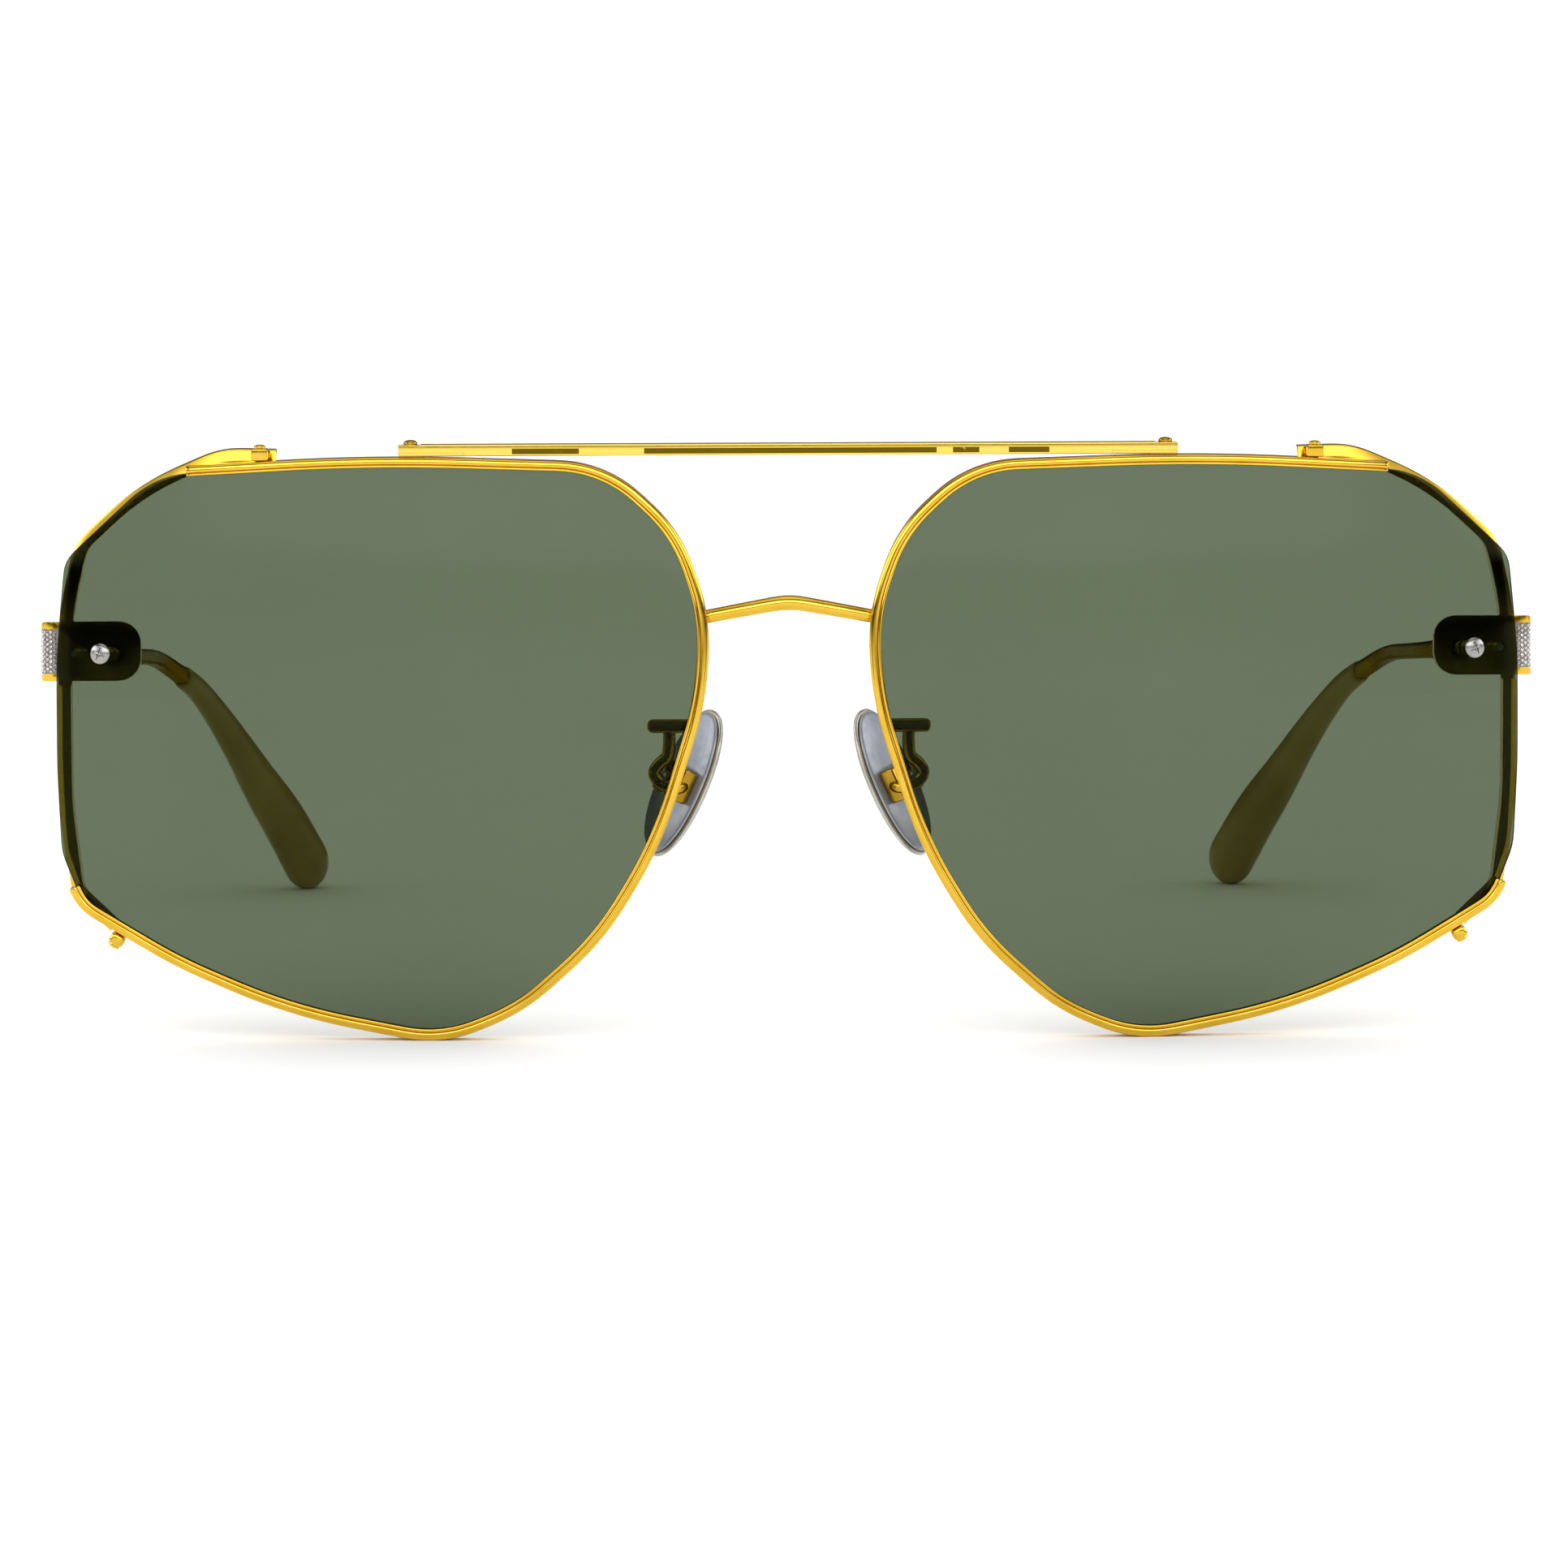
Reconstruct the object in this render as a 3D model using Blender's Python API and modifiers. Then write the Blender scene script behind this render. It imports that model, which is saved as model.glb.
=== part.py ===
"""Aviator sunglasses: metal rims, tinted lenses, brow bar, hinged temples and rocking nose pads.

Metres, +Z up. The front faces -Y and the temples run back along +Y. The glasses stand on the
bottoms of both rims and on both temple tips, at z = 0. Everything with a side is modelled for
+X and then mirrored to -X as an object of its own.
"""
import math

import bmesh
import bpy
from mathutils import Matrix, Vector

MM = 0.001
OBJECT_NAME = "aviator_sunglasses"

# Lens: a spherical shell, wrapped round the face by a few degrees
BASE_RADIUS = 125 * MM
WRAP_SLOPE = math.tan(math.radians(5))
LENS_CENTRE_X = 40.2 * MM
LENS_CENTRE_Z = 28.5 * MM
LENS_THICKNESS = 1.8 * MM
LENS_BLANK_SIZE = (72 * MM, 64 * MM)
# Outline corners of one lens as (x, z, corner radius) in mm, anticlockwise from the temple side
LENS_CORNERS = (
    (62.55, 55.93, 10), (41.0, 57.25, 200), (18.2, 56.5, 12), (11.2, 50.0, 14),
    (8.45, 42.0, 18), (8.8, 34.0, 32), (13.35, 19.6, 42), (19.0, 10.4, 28),
    (26.8, 3.35, 20), (34.6, 0.2, 12), (49.5, 3.1, 60), (60.6, 7.75, 50),
    (70.3, 13.3, 4), (72.3, 18.4, 4), (72.65, 27.0, 90), (72.6, 38.0, 40), (71.75, 47.4, 2.5),
)
# Flats may stand off a true arc by this much, and forming needs points this close together
ARC_TOLERANCE = 0.02 * MM
LONGEST_RUN = 5 * MM

# Rim: a grooved wire that holds the lens everywhere but on the temple side
RIM_TOP_END_X = 59.65 * MM
RIM_LOW_END_Z = 15.0 * MM
# Rim section as (outward, forward) in mm from the lens edge: a channel with two front ridges
RIM_PROFILE = (
    (0.10, 1.05), (0.10, -1.05), (-0.35, -1.05), (-0.35, -1.40), (0.50, -1.40), (0.70, -1.15),
    (0.70, 1.15), (0.58, 1.42), (0.12, 1.42), (-0.02, 1.26), (-0.12, 1.34), (-0.30, 1.34),
    (-0.38, 1.05),
)

# Side band: a gold ribbon behind the temple side of the lens
BAND_CORNERS = (
    (67.5, 10.45, 0), (71.3, 13.9, 2.5), (72.35, 23, 40), (72.35, 41, 40), (70.6, 48.9, 4),
    (64.3, 54.7, 25), (56.2, 58.2, 9), (50.6, 58.1, 0),
)
BAND_OUTER = 0.25 * MM
BAND_INNER = 1.12 * MM
BAND_FRONT = 1.55 * MM
BAND_BACK = 4.15 * MM
BAND_NOTCH_DEPTH = 1.3 * MM
BAND_NOTCH_HEIGHT = 6.4 * MM

# Posts that tie the band to the rim, each with a dome screw: (x, z, turn about Y, width)
POSTS = {
    "top": (52.15 * MM, 57.94 * MM, 0.0, 1.6 * MM),
    "bottom": (66.85 * MM, 9.72 * MM, math.radians(149), 1.5 * MM),
}
POST_HEIGHT = 1.17 * MM
POST_DEPTH = 2.5 * MM
POST_SCREW_HEAD_RADIUS = 0.6 * MM
POST_SCREW_HEAD_HEIGHT = 0.42 * MM
SMALL_SHANK_RADIUS = 0.3 * MM
SMALL_BORE_RADIUS = 0.4 * MM

# Brow bar on top of the rims
BAR_HALF_LENGTH = 38.4 * MM
BAR_Y = 2.95 * MM
BAR_DEPTH = 2.4 * MM
BAR_BOTTOM = 57.84 * MM
BAR_TOP = 59.0 * MM
BAR_FOOT_LENGTH = 6.4 * MM
BAR_FOOT_HEIGHT = 0.36 * MM
BAR_FOOT_REACH = 0.12 * MM
BAR_FOOT_LIFT = 0.06 * MM
BAR_FOOT_INSET = 0.15 * MM
BAR_SCREW_X = 37.2 * MM
BAR_SCREW_RADIUS = 0.7 * MM
BAR_SEAT_START_X = 36.2 * MM
BAR_SEAT_DEPTH = 0.1 * MM

# Bridge wire between the rims, as (x, y, z) in mm for one half
BRIDGE_RADIUS = 0.75 * MM
BRIDGE_POINTS = (
    (7.72, 2.0, 42.0), (5.2, 1.5, 42.5), (2.6, 1.1, 43.0), (1.0, 0.92, 43.28), (0.0, 0.88, 43.34),
)

# Hinge frame: origin on the hinge axis, local Y along the temple, local Z along the axis
TEMPLE_SLOPE = math.radians(4.8)
HINGE_POINT = Vector((72.0, 22.0, 37.15)) * MM
HINGE_BORE = 0.62 * MM
LUG_INNER = 1.0 * MM
LUG_OUTER = 2.3 * MM
LUG_GAP = 0.1 * MM
# Hinge screw as (radius, height) in mm from the top of its head to the end of its shank
HINGE_SCREW_PROFILE = (
    (0, 2.95), (0.75, 2.95), (0.9, 2.8), (0.9, 2.38), (0.5, 2.38), (0.5, -2.25), (0, -2.25),
)
HINGE_SCREW_SLOT = (3 * MM, 0.3 * MM, 0.4 * MM)
# Plans of one lug and of the knuckle in the hinge frame, as (x, y, corner radius) in mm
LUG_PLAN = (
    (-0.2, -4.2, 0), (1.7, -4.2, 0), (1.7, -1.7, 0), (1.2, -1.5, 0), (1.2, 1.2, 1.15),
    (-1.2, 1.2, 1.15), (-1.2, -1.2, 1.0),
)
KNUCKLE_PLAN = (
    (-1.2, -1.2, 1.15), (1.2, -1.2, 1.15), (1.7, 1.6, 0), (1.7, 5.0, 0), (-0.2, 2.6, 0.8),
    (-1.2, 0.8, 0.5),
)

# End piece in the hinge frame: a plate behind the lens that bends back to the hinge
PLATE_HEIGHT = 5.9 * MM
PLATE_INNER_X = -7.9 * MM
PLATE_FRONT_Y = -16.1 * MM
PLATE_SLOPE = 0.318
PLATE_THICKNESS = 1.2 * MM
PLATE_CORNER = 2.3
WALL_EDGE = 0.45
WALL_CORNER = 2.0 * MM
WALL_OUTER_X = 2.45 * MM
WALL_REAR_Y = -1.3 * MM
INLAY_HEIGHT = 4.45 * MM
INLAY_DEPTH = 0.25 * MM
INLAY_START_X = 0.55 * MM
INLAY_REAR_Y = -4.0 * MM
CLEARANCE = 0.05 * MM

# Lens screw, nut and anti-rotation peg: (x, z) where they pass through the lens
LENS_SCREW_AT = (67.75 * MM, 38.22 * MM)
LENS_PEG_AT = (70.8 * MM, 38.2 * MM)
LENS_SCREW_HEAD = ((0, 0.62), (0.45, 0.58), (0.8, 0.45), (1.0, 0.22), (1.05, 0.0))
LENS_SCREW_SHANK_RADIUS = 0.6 * MM
LENS_SCREW_END = -3.9 * MM
LENS_HOLE_RADIUS = 0.75 * MM
CROSS_RECESS_SIZE = (1.25 * MM, 0.26 * MM, 0.5 * MM)
CROSS_RECESS_TURN = 0.3
NUT_RADIUS = 1.25 * MM
NUT_SPAN = (-3.7 * MM, -2.65 * MM)
PEG_RADIUS = 0.38 * MM
PEG_HOLE_RADIUS = 0.5 * MM
PEG_SPAN = (-1.05 * MM, 0.2 * MM)
PEG_HOLE_FRONT = 0.3 * MM

# Temple stations in the hinge frame: (x, y, z, height, thickness) in mm
TEMPLE_STATIONS = (
    (1.9, -1.15, 0.0, 5.6, 1.05), (1.85, 5.0, 0.0, 5.3, 1.05), (1.2, 14.0, 0.0, 4.0, 1.3),
    (-0.6, 26.0, 0.0, 2.7, 1.6), (-2.0, 40.0, 0.0, 1.9, 1.7), (-2.4, 58.0, 0.0, 1.75, 1.7),
    (-2.5, 74.0, 0.0, 1.75, 1.7), (-3.0, 83.5, -0.5, 1.8, 1.75), (-4.55, 91.5, -1.95, 1.9, 1.8),
)
TIP_STATIONS = (
    (-4.6, 91.7, -2.0, 2.6, 2.35), (-6.15, 97.2, -3.75, 3.0, 2.4), (-8.0, 102.6, -6.7, 3.6, 2.7),
    (-10.0, 107.6, -10.3, 4.4, 3.2), (-12.1, 112.4, -14.35, 5.4, 3.9), (-14.7, 117.2, -18.95, 6.2, 4.7),
    (-17.0, 121.8, -23.7, 6.5, 5.0),
)
BAR_SQUARENESS = 3.0
TIP_DOME_LENGTH = 3.6 * MM
CORE_RADIUS = 0.7 * MM
CORE_BORE = 0.85 * MM
CORE_LENGTH = 14.0 * MM
CORE_ROOT = 1.2 * MM

# Nose pad frame: origin on the rocking axis, local X along the pad's width, local Z up its length
PAD_CENTRE = Vector((10.65, 9.6, 24.8)) * MM
PAD_LENGTH = 15.8 * MM
PAD_WIDTH = 9.0 * MM
PAD_THICKNESS = 1.35 * MM
PAD_SPLAY = math.radians(60)
PAD_TILT = math.radians(-24)
PAD_BOX_SIZE = (3.4 * MM, 1.6 * MM, 3.3 * MM)
PAD_BOX_Y = -0.5 * MM
BACKING_THICKNESS = 0.35 * MM
BACKING_Y = -0.25 * MM
BACKING_MARGIN = 0.48 * MM
PAD_ARM_RADIUS = 0.6 * MM
# Arm wire from its foot behind the rim, down, out round a loop and in to the side of the pad box, in mm
PAD_ARM_POINTS = (
    (11.9, 3.5, 30.9), (11.9, 4.0, 29.3), (12.1, 4.6, 27.9), (12.85, 5.1, 27.15), (13.4, 5.4, 26.2),
    (12.9, 5.4, 25.25), (11.9, 5.35, 24.75), (10.95, 5.75, 24.6), (10.55, 6.5, 24.7),
    (10.76, 7.18, 24.85),
)
PAD_FOOT_SIZE = (4.5 * MM, 1.2 * MM, 1.35 * MM)
PAD_FOOT_AT = (11.8 * MM, 3.4 * MM, 31.0 * MM)


def clear_scene():
    """Remove whatever the file opened with."""
    for scene_object in list(bpy.data.objects):
        bpy.data.objects.remove(scene_object, do_unlink=True)


def make_collection(name):
    """A new collection under the scene's own."""
    collection = bpy.data.collections.new(name)
    bpy.context.scene.collection.children.link(collection)
    return collection


def make_material(name, colour, roughness, metallic, transmission=0.0):
    """A Principled material."""
    material = bpy.data.materials.new(name)
    material.use_nodes = True
    shader = material.node_tree.nodes["Principled BSDF"]
    shader.inputs["Base Color"].default_value = (*colour, 1.0)
    shader.inputs["Roughness"].default_value = roughness
    shader.inputs["Metallic"].default_value = metallic
    shader.inputs["Transmission Weight"].default_value = transmission
    return material


def add_object(name, data, collection, material=None):
    """Link new mesh or curve data into a collection."""
    new_object = bpy.data.objects.new(name, data)
    collection.objects.link(new_object)
    if material:
        data.materials.append(material)
    return new_object


def mesh_object(name, mesh_builder, material=None):
    """An object whose mesh is filled in by a bmesh builder function."""
    mesh = bpy.data.meshes.new(name)
    work = bmesh.new()
    mesh_builder(work)
    bmesh.ops.recalc_face_normals(work, faces=work.faces)
    work.to_mesh(mesh)
    work.free()
    return add_object(name, mesh, PARTS if material else CUTTERS, material)


def box(name, size, centre=(0, 0, 0), material=None):
    """A rectangular block."""
    def build(work):
        matrix = Matrix.Translation(centre) @ Matrix.Diagonal((*size, 1))
        bmesh.ops.create_cube(work, size=1, matrix=matrix)
    return mesh_object(name, build, material)


def cylinder(name, radius, start, end, material=None, sides=20):
    """A cylinder along its own Z from start to end."""
    def build(work):
        bmesh.ops.create_cone(work, cap_ends=True, segments=sides, radius1=radius, radius2=radius,
                              depth=end - start, matrix=Matrix.Translation((0, 0, (start + end) / 2)))
    return mesh_object(name, build, material)


def turned(name, profile, material, steps=20):
    """A solid of revolution about Z from an (r, z) profile that runs from top to bottom."""
    def build(work):
        verts = [work.verts.new((radius, 0, height)) for radius, height in profile]
        for first, second in zip(verts, verts[1:]):
            work.edges.new((first, second))
    new_object = mesh_object(name, build, material)
    screw = new_object.modifiers.new("Turn", "SCREW")
    screw.steps = steps
    screw.render_steps = steps
    screw.use_merge_vertices = True
    screw.merge_threshold = 1e-6
    screw.use_smooth_shade = True
    return new_object


def boolean(target, cutter, operation="DIFFERENCE"):
    """Cut, join or intersect with another object."""
    modifier = target.modifiers.new(cutter.name, "BOOLEAN")
    modifier.operation = operation
    modifier.solver = "EXACT"
    modifier.object = cutter


def place(target, parent=None, matrix=None):
    """Set an object's parent and its place under that parent."""
    target.parent = parent
    if matrix:
        target.matrix_local = matrix
    return target


def shade_smooth(target, angle=math.radians(35)):
    """Smooth shading that keeps sharp edges sharp."""
    target.data.shade_smooth()
    target.data.set_sharp_from_angle(angle=angle)


def round_corners(corners, closed):
    """Turn (x, z, radius) corners in mm into points in metres, with an arc at each corner."""
    points = []
    for index, (x, z, radius) in enumerate(corners):
        corner = Vector((x, z)) * MM
        if not closed and index in (0, len(corners) - 1):
            points.append(corner)
            continue
        before = Vector(corners[index - 1][:2]) * MM - corner
        after = Vector(corners[(index + 1) % len(corners)][:2]) * MM - corner
        before.normalize()
        after.normalize()
        half_angle = before.angle(after) / 2
        centre = corner + (before + after).normalized() * (radius * MM / math.sin(half_angle))
        start = corner + before * (radius * MM / math.tan(half_angle)) - centre
        sweep = math.copysign(math.pi - 2 * half_angle, after.cross(before))
        step_angle = 2 * math.acos(1 - min(1, ARC_TOLERANCE / max(radius * MM, ARC_TOLERANCE)))
        count = max(1, math.ceil(abs(sweep) / step_angle))
        for step in range(count + 1):
            points.append(centre + Matrix.Rotation(sweep * step / count, 2) @ start)
    return points


def split_long_runs(points):
    """Add points along straight runs, so that forming bends them too."""
    result = [points[0]]
    for start, end in zip(points, points[1:]):
        count = max(1, math.ceil((end - start).length / LONGEST_RUN))
        result += [start.lerp(end, step / count) for step in range(1, count + 1)]
    return result


def poly_curve(name, points, closed, dimensions="2D"):
    """A straight-sided curve object through 2D or 3D points."""
    curve = bpy.data.curves.new(name, "CURVE")
    curve.dimensions = dimensions
    spline = curve.splines.new("POLY")
    spline.points.add(len(points) - 1)
    for curve_point, point in zip(spline.points, points):
        curve_point.co = (*Vector(point).to_3d(), 1)
    spline.use_cyclic_u = closed
    return add_object(name, curve, CUTTERS)


def curve_to_mesh(curve_object, name, material=None):
    """Replace a curve object by its welded mesh."""
    bpy.context.view_layer.update()
    evaluated = curve_object.evaluated_get(bpy.context.evaluated_depsgraph_get())
    mesh = bpy.data.meshes.new_from_object(evaluated)
    mesh.materials.clear()
    work = bmesh.new()
    work.from_mesh(mesh)
    bmesh.ops.remove_doubles(work, verts=work.verts, dist=1e-7)
    bmesh.ops.recalc_face_normals(work, faces=work.faces)
    work.to_mesh(mesh)
    work.free()
    new_object = add_object(name, mesh, PARTS if material else CUTTERS, material)
    new_object.matrix_world = curve_object.matrix_world
    bpy.data.objects.remove(curve_object, do_unlink=True)
    return new_object


def extruded(name, points, half_height, material=None):
    """A flat outline extruded to both sides along its local Z."""
    curve_object = poly_curve(name + "_outline", points, True)
    curve_object.data.fill_mode = "BOTH"
    curve_object.data.extrude = half_height
    return curve_to_mesh(curve_object, name, material)


def swept(name, path, profile, material=None):
    """Sweep an (outward, forward) profile in mm along a flat path, and stand it up in XZ."""
    section = poly_curve(name + "_section", [Vector(point) * MM for point in profile], True)
    curve_object = poly_curve(name + "_path", path, False)
    curve_object.data.fill_mode = "NONE"
    curve_object.data.bevel_mode = "OBJECT"
    curve_object.data.bevel_object = section
    curve_object.data.use_fill_caps = True
    new_object = curve_to_mesh(curve_object, name, material)
    bpy.data.objects.remove(section, do_unlink=True)
    new_object.data.transform(Matrix.Rotation(math.pi / 2, 4, "X"))
    return new_object


def wire(name, points, radius, material):
    """A round wire through 3D points."""
    curve_object = poly_curve(name + "_path", points, False, "3D")
    curve_object.data.bevel_depth = radius
    curve_object.data.bevel_resolution = 2
    curve_object.data.use_fill_caps = True
    return curve_to_mesh(curve_object, name, material)


def smooth_path(points, steps):
    """Catmull-Rom points through a list of vectors of any size."""
    padded = [points[0] * 2 - points[1], *points, points[-1] * 2 - points[-2]]
    result = []
    for index in range(1, len(padded) - 2):
        a, b, c, d = padded[index - 1:index + 3]
        for step in range(steps):
            t = step / steps
            result.append(0.5 * (b * 2 + (c - a) * t + (a * 2 - b * 5 + c * 4 - d) * t ** 2
                                 + (b * 3 - a - c * 3 + d) * t ** 3))
    result.append(padded[-2])
    return result


def loft(name, stations, material=None, sides=12, steps=3, dome=0.0, power=2.0):
    """A solid through stations (x, y, z, height, thickness) whose section changes along the way."""
    sections = []
    path = smooth_path([Vector(station) * MM for station in stations], steps)
    for index, station in enumerate(path):
        centre = station.to_3d()
        nearest = path[min(index + 1, len(path) - 1)].to_3d() - path[max(index - 1, 0)].to_3d()
        sections.append((centre, nearest.normalized(), station[3] / 2, station[4] / 2))
    if dome:
        centre, heading, height, thickness = sections[-1]
        for step in range(1, 5):
            angle = math.pi / 2 * step / 4.4
            shrink = math.cos(angle)
            sections.append((centre + heading * dome * math.sin(angle), heading, height * shrink,
                             thickness * shrink))

    def build(work):
        rings = []
        for centre, heading, height, thickness in sections:
            side = heading.cross(Vector((0, 0, 1))).normalized()
            up = side.cross(heading)
            ring = []
            for step in range(sides):
                angle = math.tau * (step + 0.5) / sides
                across = math.copysign(abs(math.cos(angle)) ** (2 / power), math.cos(angle))
                along = math.copysign(abs(math.sin(angle)) ** (2 / power), math.sin(angle))
                ring.append(work.verts.new(centre + side * across * thickness + up * along * height))
            rings.append(ring)
        for first, second in zip(rings, rings[1:]):
            for step in range(sides):
                following = (step + 1) % sides
                work.faces.new((first[step], first[following], second[following], second[step]))
        work.faces.new(rings[0])
        work.faces.new(rings[-1])
    return mesh_object(name, build, material)


def surface_y(x, z):
    """How far back the middle of the lens lies at (x, z)."""
    u = x - LENS_CENTRE_X
    w = z - LENS_CENTRE_Z
    return BASE_RADIUS - math.sqrt(BASE_RADIUS ** 2 - u * u - w * w) + WRAP_SLOPE * u


def form(target):
    """Form a flat front piece to the curve of the lens."""
    for vertex in target.data.vertices:
        vertex.co.y += surface_y(vertex.co.x, vertex.co.z)
    return target


def surface_frame(x, z):
    """A frame on the middle of the lens whose Z points forward, out of the lens."""
    step = 0.1 * MM
    slope_x = (surface_y(x + step, z) - surface_y(x - step, z)) / (2 * step)
    slope_z = (surface_y(x, z + step) - surface_y(x, z - step)) / (2 * step)
    forward = Vector((slope_x, -1, slope_z)).normalized()
    turn = forward.to_track_quat("Z", "Y")
    return Matrix.Translation((x, surface_y(x, z), z)) @ turn.to_matrix().to_4x4()


def dome_screw_profile(head_radius, head_height, shank_radius, shank_length):
    """Profile of a screw with a domed head that sits on z = 0."""
    dome = [(head_radius * math.sin(angle), head_height * (0.35 + 0.65 * math.cos(angle)))
            for angle in (0, 0.6, 1.15, math.pi / 2)]
    return [*dome, (shank_radius, CLEARANCE), (shank_radius, -shank_length),
            (0, -shank_length)]


def lens_outline():
    """The closed outline of one lens."""
    return round_corners(LENS_CORNERS, True)


def build_lens():
    """Lens: a curved blank, edged to its outline and drilled for its screw and peg."""
    def build(work):
        bmesh.ops.create_grid(work, x_segments=13, y_segments=11, size=0.5)
        stand = Matrix.Rotation(math.pi / 2, 4, "X") @ Matrix.Diagonal((*LENS_BLANK_SIZE, 1, 1))
        centre = Matrix.Translation((LENS_CENTRE_X, 0, LENS_CENTRE_Z))
        bmesh.ops.transform(work, matrix=centre @ stand, verts=work.verts)
    lens = mesh_object("lens_right", build, LENS_MATERIAL)
    form(lens)
    shell = lens.modifiers.new("Thickness", "SOLIDIFY")
    shell.thickness = LENS_THICKNESS
    shell.offset = 0
    edge = extruded("lens_edge_cutter", lens_outline(), 20 * MM)
    edge.data.transform(Matrix.Rotation(math.pi / 2, 4, "X"))
    boolean(lens, edge, "INTERSECT")
    holes = ((LENS_SCREW_AT, LENS_HOLE_RADIUS, 4 * MM), (LENS_PEG_AT, PEG_HOLE_RADIUS, PEG_HOLE_FRONT))
    for spot, radius, front in holes:
        hole = cylinder("lens_hole", radius, -4 * MM, front, sides=16)
        place(hole, matrix=surface_frame(*spot))
        boolean(lens, hole)
    return lens


def build_rim():
    """Rim: the grooved section swept round the lens, left open on the temple side."""
    path = [point for point in lens_outline()
            if not (point.x > RIM_TOP_END_X and point.y > RIM_LOW_END_Z)]
    rim = form(swept("rim_right", split_long_runs(path), RIM_PROFILE, GOLD))
    shade_smooth(rim)
    return rim


def build_side_band():
    """Side band: a ribbon behind the lens edge, notched where the end piece crosses it."""
    outer = BAND_OUTER / MM
    inner = -BAND_INNER / MM
    front = -BAND_FRONT / MM
    back = -BAND_BACK / MM
    profile = ((inner, front), (outer, front), (outer, back), (inner, back))
    path = split_long_runs(round_corners(BAND_CORNERS, False))
    band = form(swept("side_band_right", path, profile, GOLD))
    notch_y = surface_y(72.35 * MM, LENS_SCREW_AT[1]) + BAND_FRONT + BAND_NOTCH_DEPTH - 3 * MM
    notch = box("band_notch", (4 * MM, 6 * MM, BAND_NOTCH_HEIGHT))
    place(notch, matrix=Matrix.Translation((72.4 * MM, notch_y, LENS_SCREW_AT[1]))
          @ Matrix.Rotation(-TEMPLE_SLOPE, 4, "X"))
    boolean(band, notch)
    shade_smooth(band)
    return band


def build_posts():
    """Posts between rim and band, drilled for a small dome screw each."""
    pieces = []
    for name, (x, z, turn, width) in POSTS.items():
        frame = Matrix.Translation((x, surface_y(x, z), z)) @ Matrix.Rotation(turn, 4, "Y")
        post = box(f"band_post_{name}_right", (width, POST_DEPTH, POST_HEIGHT), material=GOLD)
        place(post, matrix=frame)
        bore = cylinder(f"band_post_{name}_bore", SMALL_BORE_RADIUS, -POST_HEIGHT * 0.3, POST_HEIGHT,
                        sides=12)
        place(bore, matrix=frame)
        boolean(post, bore)
        profile = dome_screw_profile(POST_SCREW_HEAD_RADIUS, POST_SCREW_HEAD_HEIGHT,
                                     SMALL_SHANK_RADIUS, POST_HEIGHT * 0.6)
        screw = turned(f"band_screw_{name}_right", profile, GOLD, steps=10)
        place(screw, matrix=frame @ Matrix.Translation((0, 0, POST_HEIGHT / 2)))
        pieces += [post, screw]
    return pieces


def build_top_bar():
    """Brow bar across both rims, with a foot and a screw at each end."""
    height = BAR_TOP - BAR_BOTTOM
    bar = box("top_bar", (2 * BAR_HALF_LENGTH, BAR_DEPTH, height),
              (0, BAR_Y, BAR_BOTTOM + height / 2), GOLD)
    bar_screws = []
    for side, name in ((1, "right"), (-1, "left")):
        foot_x = side * (BAR_HALF_LENGTH - BAR_FOOT_LENGTH / 2 - BAR_FOOT_INSET)
        foot_size = (BAR_FOOT_LENGTH, BAR_DEPTH / 2, BAR_FOOT_HEIGHT)
        foot_y = BAR_Y - BAR_DEPTH / 4 - BAR_FOOT_REACH
        foot_z = BAR_BOTTOM + BAR_FOOT_HEIGHT / 2 + BAR_FOOT_LIFT
        foot = box(f"bar_foot_{name}", foot_size, (foot_x, foot_y, foot_z))
        boolean(bar, foot, "UNION")
        seat_centre = (side * (BAR_SEAT_START_X + BAR_DEPTH), BAR_Y, BAR_TOP)
        seat = box(f"bar_seat_{name}", (2 * BAR_DEPTH, 2 * BAR_DEPTH, 2 * BAR_SEAT_DEPTH), seat_centre)
        boolean(bar, seat)
        spot = Matrix.Translation((side * BAR_SCREW_X, BAR_Y, BAR_TOP - BAR_SEAT_DEPTH))
        bore = cylinder(f"bar_bore_{name}", SMALL_BORE_RADIUS, -0.8 * MM, 1 * MM, sides=12)
        place(bore, matrix=spot)
        boolean(bar, bore)
        profile = dome_screw_profile(BAR_SCREW_RADIUS, 0.55 * MM, SMALL_SHANK_RADIUS, 0.7 * MM)
        screw = turned(f"bar_screw_{name}", profile, GOLD, steps=12)
        place(screw, matrix=spot)
        bar_screws.append(screw)
    return [bar, *bar_screws]


def build_bridge():
    """Bridge wire with a soft bend over the nose."""
    half = [Vector(point) * MM for point in BRIDGE_POINTS]
    mirrored = [Vector((-point.x, point.y, point.z)) for point in reversed(half[:-1])]
    bridge = wire("bridge", smooth_path(half + mirrored, 2), BRIDGE_RADIUS, GOLD)
    shade_smooth(bridge)
    return bridge


def wall_outline(inset, thickness, start_x, rear_y):
    """Plan of the end piece, or of a layer of it that starts at inset below its outer face."""
    def front_y(x):
        return PLATE_FRONT_Y + PLATE_SLOPE * (x - PLATE_INNER_X) + inset * 1.05
    outer_x = WALL_OUTER_X - inset
    inner_x = outer_x - thickness
    drop = thickness * 1.05
    inner_corner = max(0.3 * MM, WALL_CORNER - inset - thickness)
    corners = (
        (start_x, front_y(start_x) + drop, 0), (start_x, front_y(start_x), 0),
        (outer_x, front_y(outer_x), WALL_CORNER - inset), (outer_x, rear_y, 0),
        (inner_x, rear_y, 0), (inner_x, front_y(inner_x) + drop, inner_corner),
    )
    return [(x / MM, y / MM, radius / MM) for x, y, radius in corners]


def plan_solid(name, corners, half_height, material=None, parent=None):
    """Extrude a plan outline, given as corners with radii, in the hinge frame."""
    solid = extruded(name, round_corners(corners, True), half_height, material)
    return place(solid, parent)


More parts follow.
